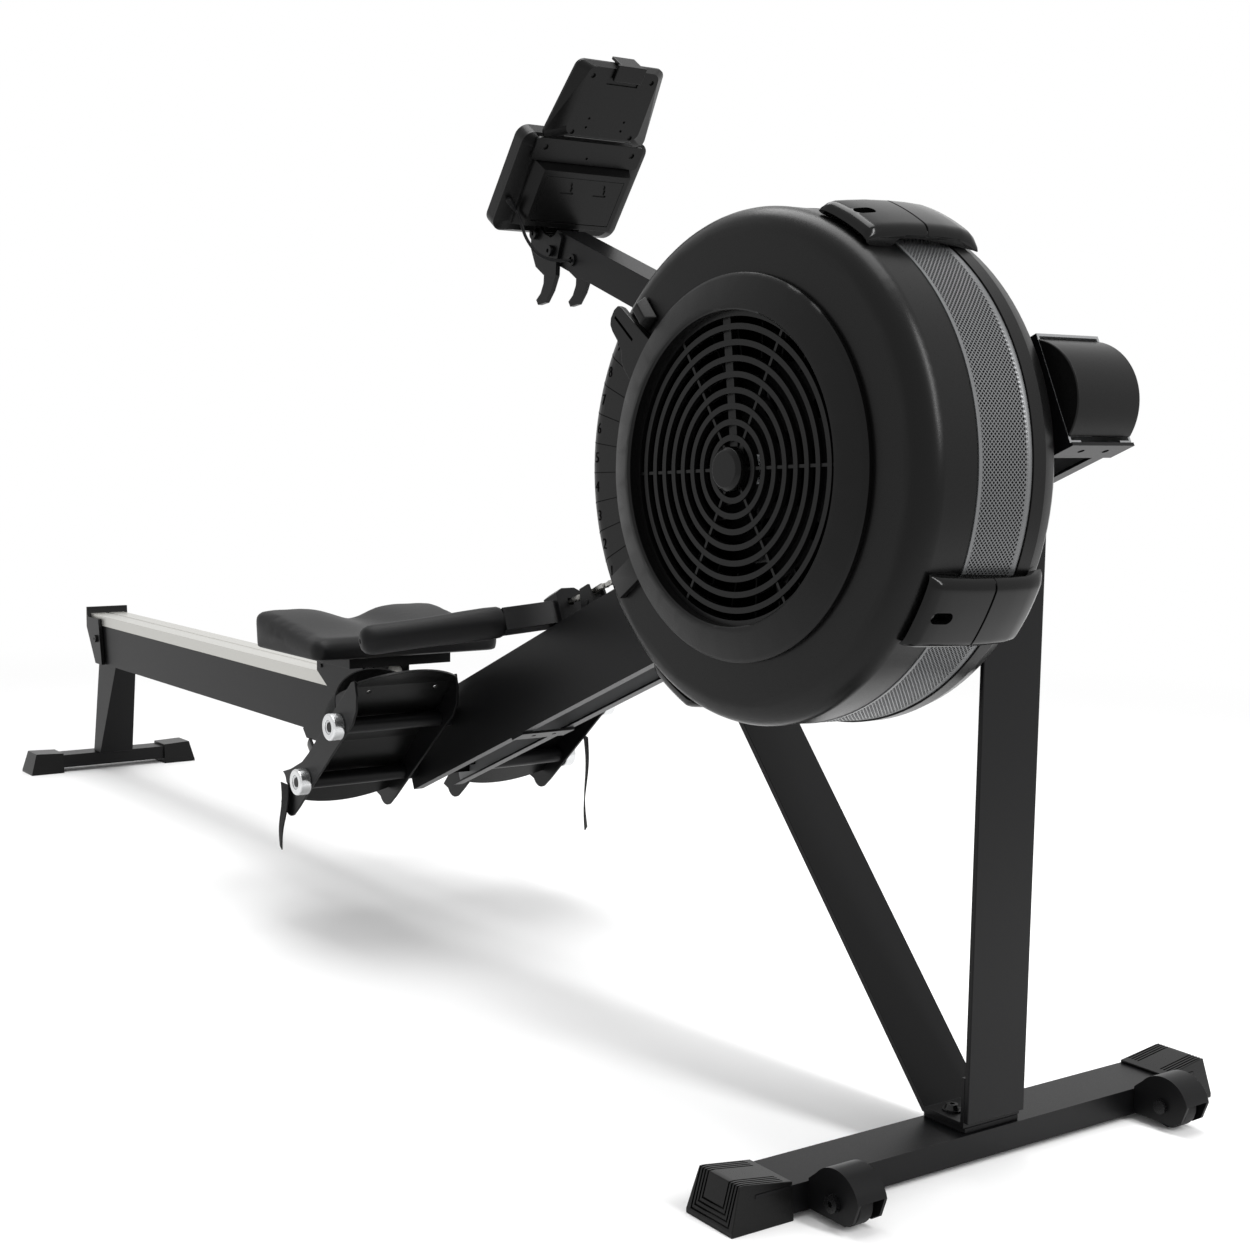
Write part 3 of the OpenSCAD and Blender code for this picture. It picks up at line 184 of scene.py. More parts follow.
# each finish: base colour, roughness, size of its grain and height of its bump in mm, and where they
# aren't the defaults its metallic and specular levels
finishes = {
    # baked powder coat on steel: satin black with a faint orange peel
    "powderCoatedSteel": {"colour": "#0a0a0b", "rough": 0.36, "grain": 0.9, "bump": 0.05, "spec": 0.15},
    # ABS from a finely etched mould: soft, even highlights on the shells
    "mouldedAbs": {"colour": "#090909", "rough": 0.31, "grain": 0.8, "bump": 0.012, "spec": 0.16},
    # ABS from a polished mould: tight, bright highlights on the clamps and the hub
    "glossyAbs": {"colour": "#060606", "rough": 0.16, "grain": 1.2, "bump": 0.008, "spec": 0.18},
    # moulded rubber: dull, slightly greyer than the plastic
    "mouldedRubber": {"colour": "#0c0c0d", "rough": 0.50, "grain": 1.0, "bump": 0.04, "spec": 0.14},
    # bright zinc plating: pale grey metal with a mild sheen
    "zincPlatedSteel": {"colour": "#b9bbbd", "metal": 1.0, "rough": 0.28, "grain": 1.5, "bump": 0.01},
    # oil-blackened steel bolts: near black with small sharp glints
    "blackenedSteel": {"colour": "#0c0c0d", "rough": 0.26, "grain": 1.5, "bump": 0.01, "spec": 0.3},
    # nickel plating: warmer and darker than zinc, worn a little dull on the chain
    "nickelPlatedSteel": {"colour": "#a3a29e", "metal": 1.0, "rough": 0.30, "grain": 1.5, "bump": 0.01},
    # flat black spray paint: the blades stay dark behind the grille; on the band's dimple floors it is painted
    # shade too
    "flywheelBlackAndHoleShade": {"colour": "#050505", "rough": 0.5, "grain": 2.0, "bump": 0.03, "spec": 0.08},
    # grey painted perforated sheet: mid grey, half way to bare metal
    "greyPerforatedSteel": {"colour": "#626364", "metal": 0.5, "rough": 0.36, "grain": 1.5, "bump": 0.01},
    # painted light inside the beam: a light, blotchy grey that stands in for the floor's light thrown up into
    # the hollow
    "paintedHollowLight": {"colour": "#7c7d7e", "metal": 0.3, "rough": 0.5, "grain": 1.2, "bump": 0.03},
    # clear anodised aluminium: a pale, broad sheen along the track
    "anodisedAluminium": {"colour": "#c3c2bd", "metal": 0.75, "rough": 0.36, "grain": 1.4, "bump": 0.01},
    # turned aluminium: bright discs with a clear reflection
    "turnedAluminium": {"colour": "#d0d1d2", "metal": 1.0, "rough": 0.24, "grain": 1.5, "bump": 0.01},
    # natural moulded nylon: milky white rollers
    "whiteNylon": {"colour": "#e9e8e3", "rough": 0.45, "grain": 1.5, "bump": 0.01},
    # self-skinned polyurethane foam: matt with a fine leathery grain
    "skinnedFoam": {"colour": "#0c0c0d", "rough": 0.46, "grain": 1.1, "bump": 0.06, "spec": 0.17},
    # closed-cell foam sleeve: matt, the finest pores just seen
    "foamGrip": {"colour": "#0c0c0d", "rough": 0.48, "grain": 0.9, "bump": 0.07, "spec": 0.16},
    # woven nylon webbing: dry black with crossing ribs, a thread every 1.8 mm
    "wovenNylon": {"colour": "#09090a", "rough": 0.8, "grain": 1.2, "bump": 0.0, "spec": 0.2, "thread": 1.8},
    # glass over an unlit liquid crystal screen: grey green, clear reflection
    "lcdGlass": {"colour": "#4e554c", "rough": 0.10, "grain": 3.0, "bump": 0.0},
    # grey moulded ABS: the three buttons stand out from the black shell
    "greyAbs": {"colour": "#5d5e60", "rough": 0.5, "grain": 1.0, "bump": 0.02},
    # painted shade: flat black strokes that hardly reflect, for the shade in the moulded relief of the air
    # scale
    "paintedReliefShade": {"colour": "#020202", "rough": 0.75, "grain": 1.0, "bump": 0.0, "spec": 0.03},
}
mapScale = 20  # a strip's map is its size in metres times this


def makeMaterial(name, colour, rough, grain, bump, metal=0.0, spec=0.5, thread=None):
    # a fine noise in the size of the grain varies the roughness and lifts the surface; the real
    # grain is finer, and is drawn at about a millimetre so that it shows
    material = bpy.data.materials.new(name)
    material.use_nodes = True
    tree = material.node_tree
    shader = tree.nodes["Principled BSDF"]
    shader.inputs["Base Color"].default_value = hexLinear(colour)
    shader.inputs["Metallic"].default_value = metal
    shader.inputs["Specular IOR Level"].default_value = spec
    coords = addNode(tree, "ShaderNodeTexCoord")
    noise = addNode(tree, "ShaderNodeTexNoise", {"Vector": coords.outputs["Object"]},
                    {"Scale": 1 / (grain * mm), "Detail": 2.0})
    spread = addNode(tree, "ShaderNodeMapRange", {"Value": noise.outputs["Fac"]},
                     {"From Min": 0.3, "From Max": 0.7, "To Min": rough - 0.04, "To Max": rough + 0.04})
    tree.links.new(spread.outputs["Result"], shader.inputs["Roughness"])
    if bump:
        lift = addNode(tree, "ShaderNodeBump", {"Height": noise.outputs["Fac"]},
                       {"Strength": 0.6, "Distance": bump * mm})
        tree.links.new(lift.outputs["Normal"], shader.inputs["Normal"])
    if thread:
        weave(tree, thread)
    return material


def weave(tree, thread):
    # two crossed waves a thread apart give the webbing its ribs, along the strap's own map
    coords = addNode(tree, "ShaderNodeTexCoord")
    waves = [addNode(tree, "ShaderNodeTexWave", {"Vector": coords.outputs["UV"]},
                     {"Scale": 1 / (thread * mm) / mapScale}, wave_type="BANDS", bands_direction=d)
             for d in ("X", "Y")]
    both = addNode(tree, "ShaderNodeMath", {0: waves[0].outputs["Fac"], 1: waves[1].outputs["Fac"]},
                   operation="MULTIPLY")
    lift = addNode(tree, "ShaderNodeBump", {"Height": both.outputs["Value"]},
                   {"Strength": 0.7, "Distance": 0.3 * mm})
    tree.links.new(lift.outputs["Normal"], tree.nodes["Principled BSDF"].inputs["Normal"])


materials = {name: makeMaterial(name, **finish) for name, finish in finishes.items()}
print("materials made:", len(materials))

# where the beam, the fan and the footrest stand, in metres and degrees
beam = {"x": 0.1015, "z": 0.1725, "angle": 23.75}
fan = {"x": 0.939218, "z": 0.61627}
rest = {"x": 0.1015, "z": 0.199, "angle": 42.5, "inner": 0.055, "outer": 0.195}


def place(origin, degrees, along, across, up):
    # a point given along, across and square to a line that rises at that angle
    a = math.radians(degrees)
    along, across, up = np.broadcast_arrays(*(np.asarray(v, float) for v in (along, across, up)))
    return np.stack([origin[0] + along * math.cos(a) - up * math.sin(a), across,
                     origin[1] + along * math.sin(a) + up * math.cos(a)], -1)


# a point by its distance along the beam, across it and above it
def onBeam(along, across, up):
    return place((beam["x"], beam["z"]), beam["angle"], along, across, up)


# the same on the footrest's slope
def onRest(along, across, up):
    return place((rest["x"], rest["z"]), rest["angle"], along, across, up)


def roundFan(radius, degrees, across):
    # a point on a circle about the fan's axle, at an angle above the front
    a = np.radians(degrees)
    radius, a, across = np.broadcast_arrays(radius, a, across)
    return np.stack([fan["x"] + radius * np.cos(a), across, fan["z"] + radius * np.sin(a)], -1)


# solids that keep their shape and get softened edges: edge radius in mm, finish
softened = {
    "front_foot_bar": (3.0, "powderCoatedSteel"), "front_post": (0.8, "powderCoatedSteel"),
    "rear_strut": (1.0, "powderCoatedSteel"), "main_beam": (1.2, "powderCoatedSteel"),
    "beam_nose": (1.5, "mouldedAbs"), "wheel_brackets": (0.8, "powderCoatedSteel"),
    "foot_packer": (0.8, "mouldedRubber"), "front_foot_caps": (2.2, "mouldedAbs"),
    "rear_foot_caps": (2.2, "mouldedAbs"), "fan_housing_right": (0.8, "mouldedAbs"),
    "fan_housing_left": (0.8, "mouldedAbs"), "fan_grille": (0.8, "mouldedAbs"),
    "hub_cap": (0.8, "glossyAbs"), "damper_ring": (1.0, "mouldedAbs"),
    "arm_lugs": (1.0, "powderCoatedSteel"),
    "monitor_arm": (1.6, "powderCoatedSteel"), "monitor_bracket": (0.8, "powderCoatedSteel"),
    "monitor_back": (1.6, "mouldedAbs"), "monitor_front": (1.2, "mouldedAbs"),
    "battery_door": (0.5, "mouldedAbs"), "phone_holder": (1.0, "mouldedAbs"),
    "phone_clamp": (0.8, "mouldedAbs"), "chain_guide": (0.8, "powderCoatedSteel"),
    "handle_bar": (2.0, "powderCoatedSteel"), "rail_cradle": (1.2, "powderCoatedSteel"),
    "seat_rail": (1.2, "powderCoatedSteel"), "rail_track": (0.8, "anodisedAluminium"),
    "rail_end_cap": (1.2, "mouldedAbs"), "rear_leg": (1.5, "powderCoatedSteel"),
    "rear_foot_bar": (3.0, "powderCoatedSteel"), "seat_carriage": (1.0, "powderCoatedSteel"),
    "foot_side_plates": (0.7, "powderCoatedSteel"), "footboards": (0.6, "mouldedAbs"),
    "heel_cup_right": (1.0, "mouldedAbs"), "heel_cup_left": (1.0, "mouldedAbs"),
    "transport_wheel_right": (0.6, "mouldedRubber"), "transport_wheel_left": (0.6, "mouldedRubber"),
    "monitor_button_left": (0.4, "greyAbs"), "monitor_button_middle": (0.4, "greyAbs"),
    "monitor_button_right": (0.4, "greyAbs"), "foot_spacers": (0.8, "turnedAluminium"),
    "seat_rollers_rear": (0.4, "whiteNylon"), "seat_rollers_front": (0.4, "whiteNylon"),
}
bodyOf = {node: body for body, nodes in frame["record"]["behaviour"]["bodies"].items() for node in nodes}


def camel(words):
    # front_post becomes frontPost
    first, *others = words.split("_")
    return first + "".join(word.capitalize() for word in others)


def softenedCopy(node, radius, finish):
    # the solid's own faces, joined up, with a narrow rounded edge
    mesh = frame["nodes"][node].data.copy()
    mesh.name = camel(node) + "Shape"
    work = bmesh.new()
    work.from_mesh(mesh)
    bmesh.ops.remove_doubles(work, verts=work.verts, dist=0.00001)
    bmesh.ops.dissolve_limit(work, angle_limit=math.radians(1.0), verts=work.verts, edges=work.edges)
    work.to_mesh(mesh)
    work.free()
    piece = bpy.data.objects.new(camel(node) + "Finished", mesh)
    bpy.context.scene.collection.objects.link(piece)
    mesh.materials.clear()
    mesh.materials.append(materials[finish])
    shadeByAngle(mesh, 32)
    bevel = piece.modifiers.new("softEdge", "BEVEL")
    bevel.width = radius * mm
    bevel.segments = 2
    bevel.limit_method = "ANGLE"
    bevel.angle_limit = math.radians(38)
    bevel.miter_outer = "MITER_ARC"
    even = piece.modifiers.new("evenShading", "WEIGHTED_NORMAL")
    even.keep_sharp = True
    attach(piece, bodyOf[node])
    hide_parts(node)
    return piece


copies = {node: softenedCopy(node, radius, finish) for node, (radius, finish) in softened.items()}
print("softened solids:", len(softened))

# faces that look into the beam's hollow get a lighter grey: painted light from the floor below
beamHollow = {"halfWidth": 0.0357, "low": 0.0022, "high": 0.0958}


def lightenHollowFaces():
    mesh = copies["main_beam"].data
    mesh.materials.append(materials["paintedHollowLight"])
    for face in mesh.polygons:
        x, y, z = face.center
        a = math.radians(beam["angle"])
        up = -(x - beam["x"]) * math.sin(a) + (z - beam["z"]) * math.cos(a)
        if abs(y) < beamHollow["halfWidth"] and beamHollow["low"] < up < beamHollow["high"]:
            face.material_index = 1


lightenHollowFaces()
print("beam hollow lightened")

# finishes of the solids that are used as they are, or that a piece below replaces
plain = {
    "housing_clamps": "glossyAbs",
    "frame_bolts": "blackenedSteel", "bearing_blocks": "zincPlatedSteel", "fan_axle": "zincPlatedSteel",
    "flywheel": "flywheelBlackAndHoleShade", "chain_sprocket": "nickelPlatedSteel", "nose_pulley": "mouldedRubber",
    "inner_chain": "nickelPlatedSteel", "return_cord": "mouldedRubber", "clamp_screws": "blackenedSteel",
    "foot_axles": "powderCoatedSteel", "seat_pad": "skinnedFoam", "handle_grips": "foamGrip",
    "foot_straps": "wovenNylon", "mesh_band": "greyPerforatedSteel", "chain": "nickelPlatedSteel",
    "sensor_cable": "mouldedRubber",
}
for node, finish in {**plain, **{node: finish for node, (_, finish) in softened.items()}}.items():
    frame["nodes"][node].data.materials.clear()
    frame["nodes"][node].data.materials.append(materials[finish])
print("plain solids:", len(plain))

# seat
seat = {"x": -0.0725, "halfLength": 0.1035, "halfWidth": 0.1485, "bottom": 0.3412, "corner": 0.020,
        "rearTop": 0.3930, "frontTop": 0.3690, "valley": 0.0170, "valleyY": 0.040, "lowEdge": 0.007,
        "topEdge": 0.012, "underInsets": (0.09, 0.05, 0.02),
        "topInsets": (0.018, 0.026, 0.036, 0.048, 0.062, 0.076, 0.088, 0.098), "pressure": 3.5, "swell": 0.002}


def roundedOutline(halfX, halfY, corner, count):
    # points at even steps along a rectangle with rounded corners
    a = np.linspace(0, np.pi / 2, 24)
    parts = []
    for quarter in range(4):
        cx = (halfX - corner) * (1 if quarter in (0, 3) else -1)
        cy = (halfY - corner) * (1 if quarter in (0, 1) else -1)
        angle = a + quarter * np.pi / 2
        parts.append(np.stack([cx + corner * np.cos(angle), cy + corner * np.sin(angle)], -1))
    line = np.concatenate(parts + [parts[0][:1]])
    length = np.concatenate([[0], np.cumsum(np.linalg.norm(np.diff(line, axis=0), axis=1))])
    at = np.arange(count) * length[-1] / count
    return np.stack([np.interp(at, length, line[:, 0]), np.interp(at, length, line[:, 1])], -1)


def seatHeight(x, y):
    # a level ridge at the rear that falls to the front, with one soft valley along the middle
    t = np.clip((x - seat["x"] + seat["halfLength"]) / (2 * seat["halfLength"]), 0, 1)
    fall = t * t * (3 - 2 * t)
    ridge = seat["rearTop"] + (seat["frontTop"] - seat["rearTop"]) * fall
    return ridge - seat["valley"] * (1 - fall) * np.exp(-(y / seat["valleyY"]) ** 2)


def seatPad():
    # rings of one rounded outline: under side, lower edge, side, upper edge, then the top inwards
    count, rows = 200, []

    def ring(inset, height=None, drop=0.0):
        corner = max(seat["corner"] - inset, 0.002)
        outline = roundedOutline(seat["halfLength"] - inset, seat["halfWidth"] - inset, corner, count)
        x, y = outline[:, 0] + seat["x"], outline[:, 1]
        z = seatHeight(x, y) - drop if height is None else np.full(count, height)
        rows.append(np.stack([x, y, z], -1))

    for inset in seat["underInsets"]:
        ring(inset, seat["bottom"])
    low = seat["lowEdge"]
    for a in np.radians([0, 30, 60, 90]):
        ring(0.002 + low * (1 - math.sin(a)), seat["bottom"] + low * (1 - math.cos(a)))
    edge = seat["topEdge"]
    for a in np.radians([90, 72, 54, 36, 18, 0]):
        ring(0.001 + edge * (1 - math.sin(a)), None, edge * (1 - math.cos(a)))
    for inset in seat["topInsets"]:
        ring(inset)
    points = np.stack(rows)
    faces = gridFaces(len(rows), count, closeCols=True) + [list(range(count))[::-1]]
    last = (len(rows) - 1) * count
    half = count // 2
    faces += [[last + k, last + k + 1, last + count - 2 - k, last + count - 1 - k] for k in range(half - 1)]
    pad = makePiece("seatPadBody", points, faces, materials["skinnedFoam"], "seat_foam", sharp=70)
    remesh = pad.modifiers.new("evenMesh", "REMESH")
    remesh.mode = "VOXEL"
    remesh.voxel_size = 0.004
    applyModifiers(pad)
    swell(pad, seat["pressure"], seat["swell"])
    smooth = pad.modifiers.new("relax", "SMOOTH")
    smooth.factor, smooth.iterations = 0.5, 4
    fine = pad.modifiers.new("fine", "SUBSURF")
    fine.levels = fine.render_levels = 1
    shadeByAngle(pad.data, 80)
    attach(pad, "seat")
    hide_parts("seat_pad")
    return pad


def swell(piece, pressure, cap):
    # a cloth skin blown up a little, with each point's travel capped
    start = np.empty(len(piece.data.vertices) * 3)
    piece.data.vertices.foreach_get("co", start)
    cloth = piece.modifiers.new("skin", "CLOTH")
    cloth.settings.use_pressure = True
    cloth.settings.uniform_pressure_force = pressure
    cloth.settings.effector_weights.gravity = 0
    cloth.settings.quality = 4
    cloth.point_cache.frame_start, cloth.point_cache.frame_end = 1, 20
    for step in range(1, 21):
        bpy.context.scene.frame_set(step)
    end = np.empty_like(start)
    graph = bpy.context.evaluated_depsgraph_get()
    shaped = piece.evaluated_get(graph)
    shaped.data.vertices.foreach_get("co", end)
    piece.modifiers.remove(cloth)
    bpy.context.scene.frame_set(1)
    start, end = start.reshape(-1, 3), end.reshape(-1, 3)
    move = end - start
    reach = np.linalg.norm(move, axis=1, keepdims=True)
    move *= np.minimum(1, cap / np.maximum(reach, 1e-9))
    move[start[:, 2] < seat["bottom"] + 0.004] = 0
    piece.data.vertices.foreach_set("co", (start + move).ravel())
    piece.data.update()


seatPad()
print("seat pad made")

# handle grips
grip = {"u": 0.375, "n": 0.120, "sweep": 15.5, "start": 0.0805,
        "profile": [(0, 0), (0, 0.0150), (0.0008, 0.0168), (0.005, 0.0186), (0.02, 0.0192), (0.045, 0.0188),
                    (0.08, 0.0176), (0.11, 0.0172), (0.14, 0.0175), (0.155, 0.0176), (0.162, 0.0168),
                    (0.1675, 0.0146), (0.1708, 0.0110), (0.1722, 0.0070), (0.1724, 0.0034), (0.1710, 0.0026),
                    (0.1650, 0.0024), (0.1650, 0)]}


def handleGrip(side):
    # a turned sleeve: radius against length, round the swept-back half of the handle
    along, radius = np.array(grip["profile"]).T
    turn = np.linspace(0, 2 * np.pi, 48, endpoint=False)
    length = (grip["start"] + along)[:, None] + 0 * turn
    x, z = radius[:, None] * np.cos(turn), radius[:, None] * np.sin(turn)
    a = math.radians(grip["sweep"])
    back = -length * math.sin(a) + x * math.cos(a)
    out = (length * math.cos(a) + x * math.sin(a)) * side
    points = onBeam(grip["u"] + back, out, grip["n"] + z)
    return points.reshape(-1, 3), gridFaces(len(along), 48, closeCols=True)


def handleGrips():
    points, faces = joined([handleGrip(side) for side in (-1, 1)])
    piece = makePiece("handleGripSleeves", points, faces, materials["foamGrip"], "grip_foam", sharp=50)
    mergeClose(piece.data)
    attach(piece, "handle")
    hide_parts("handle_grips")


handleGrips()
print("grips made")


# moulded grooves of the front caps: plates in U shapes, cut a little into the end and the top
groove = {"x": 1.0555, "end": 0.305, "edges": (0.0238, 0.0203, 0.0168, 0.0133),
          "low": (0.0065, 0.0105, 0.0145, 0.0185), "width": 0.0017, "deep": 0.0016,
          "lean": 0.303, "back": 0.0012, "crest": 0.0108, "reach": 0.058, "above": 0.05, "outside": 0.002}


def capTop(inward):
    # height of the cap's top face at a distance from its end
    return 0.040 + (0.033 - 0.040) * (inward - 0.016) / 0.048


def grooveCutters():
    parts, half, deep = [], groove["width"] / 2, groove["deep"]
    outside, crest, reach = groove["outside"], groove["crest"], groove["reach"]
    for side in (-1, 1):
        for edge, low in zip(groove["edges"], groove["low"]):
            for sign in (-1, 1):
                x = groove["x"] + sign * edge
                # a plate whose lower edge runs just under the top face and whose end enters the end face
                outline = [(-outside, low - half), (low * groove["lean"] + deep - groove["back"], low - half),
                           (crest + deep * 0.9, capTop(crest) - deep), (reach, capTop(reach) - deep),
                           (reach, groove["above"]), (-outside, groove["above"])]
                n = len(outline)
                p = [(x + s * half, side * (groove["end"] - inward), z)
                     for s in (-1, 1) for inward, z in outline]
                f = [list(range(n))[::-1], list(range(n, 2 * n))]
                f += [[k, (k + 1) % n, n + (k + 1) % n, n + k] for k in range(n)]
                parts.append((p, f))
            inner = groove["end"] - low * groove["lean"] - deep + groove["back"]
            near, far = sorted((side * (groove["end"] + outside), side * inner))
            parts.append(box((groove["x"] - edge, near, low - half), (groove["x"] + edge, far, low + half)))
    return joined(parts)


cutOut(copies["front_foot_caps"], *grooveCutters(), "capGrooves", 20)
print("caps grooved")

# damper lever
lever = {"angle": 140.8, "base": -0.1984, "top": -0.2046,
         "knobAngle": 132.6, "knobBase": -0.1984, "knobTop": -0.2092,
         "outline": [(0.160, -0.0165), (0.172, -0.0152), (0.200, -0.0134), (0.218, -0.0126), (0.2240, -0.0102),
                     (0.2262, -0.0040), (0.2255, 0.0050), (0.2220, 0.0105), (0.2150, 0.0132), (0.203, 0.0150),
                     (0.192, 0.0182), (0.188, 0.0225), (0.184, 0.0268), (0.172, 0.0298), (0.160, 0.0310)],
         "knob": ((0.1765, 0.2045, 0.0095), (0.1810, 0.1995, 0.0042)),
         "groove": (0.184, 0.2205, 0.0014), "grooveFloor": -0.2004, "grooveOut": -0.215,
         "old": (0.1702, 0.222, 0.014), "oldAngle": 141, "oldFloor": -0.1950, "oldOut": -0.2160}


def fromFan(radial, sideways, y, angle):
    # a point by its distance from the fan's axis along an angle, and its offset square to that
    t = math.radians(angle)
    radial, sideways = np.asarray(radial, float), np.asarray(sideways, float)
    return np.stack([fan["x"] + radial * math.cos(t) - sideways * math.sin(t), y + 0 * radial,
                     fan["z"] + radial * math.sin(t) + sideways * math.cos(t)], -1)


def barFromFan(span, low, high, angle):
    # a straight bar between two radii, as wide as twice its half width
    near, far, half = span
    along, sideways = [near, far, far, near], [-half, -half, half, half]
    return prism(fromFan(along, sideways, low, angle), fromFan(along, sideways, high, angle))


def damperLever():
    # a flat pointer that widens into the ring, with one long groove, and a tapered thumb knob beside it
    u, v = np.array(lever["outline"]).T
    plate = prism(fromFan(u, v, lever["base"], lever["angle"]), fromFan(u, v, lever["top"], lever["angle"]))
    corners = [fromFan([a, b, b, a], [-w, -w, w, w], y, lever["knobAngle"])
               for (a, b, w), y in zip(lever["knob"], (lever["knobBase"], lever["knobTop"]))]
    piece = makePiece("damperLever", *joined([plate, prism(*corners)]), materials["mouldedAbs"],
                      "black_plastic", sharp=30)
    edge = piece.modifiers.new("edge", "BEVEL")
    edge.width, edge.segments, edge.limit_method, edge.angle_limit = 0.0012, 2, "ANGLE", math.radians(35)
    applyModifiers(piece)
    slot = barFromFan(lever["groove"], lever["grooveFloor"], lever["grooveOut"], lever["angle"])
    cutOut(piece, *slot, "leverGroove")
    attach(piece, "damper")
    # the plainer lever of the ring's own solid makes way
    old = barFromFan(lever["old"], lever["oldFloor"], lever["oldOut"], lever["oldAngle"])
    cutOut(copies["damper_ring"], *old, "plainLever")


damperLever()
print("lever made")

# housing clamps
clamp = {"angles": (62, -28, -118, -208), "r": 0.227, "half": 0.0325,
         "corner": 0.009, "cornerDrop": 0.0085, "full": 0.012, "crown": 0.0148,
         "outer": [(-0.1765, 0.0015), (-0.1785, 0.0038), (-0.1780, 0.0080), (-0.1752, 0.0115),
                   (-0.1700, 0.0135), (-0.1580, 0.0150), (-0.1400, 0.0168), (-0.1165, 0.0178),
                   (-0.1160, 0.0165), (-0.1146, 0.0165), (-0.1141, 0.0179), (-0.0950, 0.0180),
                   (-0.0760, 0.0172), (-0.0640, 0.0152), (-0.0570, 0.0115), (-0.0525, 0.0070),
                   (-0.0515, 0.0046), (-0.0523, 0.0034)],
         "inner": [(-0.0640, 0.0034), (-0.0690, 0.0044), (-0.0740, 0.0085), (-0.0800, 0.0106),
                   (-0.1100, 0.0112), (-0.1380, 0.0098), (-0.1450, 0.0070), (-0.1500, 0.0006),
                   (-0.1530, -0.0006), (-0.1740, -0.0006)],
         "slot": {"y": -0.1612, "half": 0.0105, "radius": 0.0054, "deep": 0.0095, "above": 0.03}}


def clampBodies():
    # one cross-section carried along the rim; its outer side drops in a quarter round at both ends
    outer, inner = np.array(clamp["outer"]), np.array(clamp["inner"])
    across = clamp["half"] * np.sin(np.linspace(-1, 1, 33) * np.pi / 2)
    over = np.clip((np.abs(across) - (clamp["half"] - clamp["corner"])) / clamp["corner"], 0, 1)
    drop = clamp["cornerDrop"] * (1 - np.sqrt(1 - 0.98 * over ** 2))
    parts = []
    for angle in clamp["angles"]:
        t = math.radians(angle)
        outwards, along = np.array([math.cos(t), 0, math.sin(t)]), np.array([-math.sin(t), 0, math.cos(t)])
        rows = []
        for q, d in zip(across, drop):
            arch = math.hypot(clamp["r"], q) - clamp["r"]
            sunk = outer[:, 1] - d * np.clip(outer[:, 1] / clamp["full"], 0, 1)
            lowered = np.maximum(sunk, outer[:, 1] * 0.35 - 0.0002)
            ring = np.concatenate([np.stack([outer[:, 0], lowered], -1), inner])
            height = clamp["r"] + ring[:, 1] - arch
            rows.append(np.array([fan["x"], 0, fan["z"]]) + height[:, None] * outwards + q * along
                        + ring[:, :1] * np.array([0, 1, 0]))
        n = len(rows[0])
        faces = gridFaces(len(rows), n, closeCols=True)
        faces += [list(range(n))[::-1], [(len(rows) - 1) * n + k for k in range(n)]]
        parts.append((np.concatenate(rows), faces))
    piece = makePiece("clampBodies", *joined(parts), materials["glossyAbs"], "black_plastic", sharp=50)
    cutOut(piece, *slotCutters(), "clampSlots", 40)
    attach(piece, "frame")
    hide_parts("housing_clamps")
    return piece


def slotCutters():
    # a bar with round ends that stands on each clamp over its screw
    slot, parts = clamp["slot"], []
    turn = np.linspace(0, 2 * np.pi, 24, endpoint=False)
    ends = np.where(np.cos(turn) > 0, slot["half"] - slot["radius"], slot["radius"] - slot["half"])
    outline = np.stack([ends + slot["radius"] * np.cos(turn), slot["radius"] * np.sin(turn)], -1)
    for angle in clamp["angles"]:
        t = math.radians(angle)
        outwards, along = np.array([math.cos(t), 0, math.sin(t)]), np.array([-math.sin(t), 0, math.cos(t)])
        rows = [np.array([fan["x"], slot["y"], fan["z"]]) + height * outwards + outline[:, 1:] * along
                + outline[:, :1] * np.array([0, 1, 0])
                for height in (clamp["r"] + clamp["crown"] - slot["deep"], clamp["r"] + slot["above"])]
        faces = gridFaces(2, 24, closeCols=True) + [list(range(24))[::-1], list(range(24, 48))]
        parts.append((np.concatenate(rows), faces))
    return joined(parts)


clampBodies()
print("clamps made")

# perforated band, with as many cells as keep it under 200,000 triangles
band = {"y0": -0.1400, "y1": -0.0812, "radius0": 0.2263, "radius1": 0.2281, "rim": 0.0028, "deep": 0.0012,
        "inside": 0.2215, "rows": 26, "count": 352, "hole": 0.70}


def bandRadius(y, lift=0.0):
    # the band widens evenly from one edge to the other
    share = (y - band["y0"]) / (band["y1"] - band["y0"])
    return band["radius0"] + (band["radius1"] - band["radius0"]) * share + lift


def meshBand():
    # staggered four-cornered cells round the drum, each with a smaller dimple of the same shape
    rows, count = band["rows"], band["count"]
    rowStep = (band["y1"] - band["y0"] - 2 * band["rim"]) / rows
    arcStep = 360 / count
    r, c = np.meshgrid(np.arange(rows + 1), np.arange(count), indexing="ij")
    midArc = (c + 0.5 * (r % 2)) * arcStep
    midY = band["y0"] + band["rim"] + r * rowStep
    sideY, sideArc = np.array([0, 1, 0, -1]) * rowStep, np.array([1, 0, -1, 0]) * arcStep / 2
    ring = []
    for size, lift in ((1.0, 0.0), (band["hole"], 0.0), (band["hole"], -band["deep"])):
        y = midY[..., None] + size * sideY
        arc = midArc[..., None] + size * sideArc
        ring.append(roundFan(bandRadius(y, lift), arc, y))
    points = np.stack(ring, 2)
    base = np.arange((rows + 1) * count)[:, None] * 12
    k = np.arange(4)
    faces = [np.stack([base + a * 4 + k, base + a * 4 + (k + 1) % 4, base + b * 4 + (k + 1) % 4,
                       base + b * 4 + k], -1).reshape(-1, 4) for a, b in ((0, 1), (1, 2))]
    faces.append(base + 8 + k)
    return points.reshape(-1, 3), np.concatenate(faces)


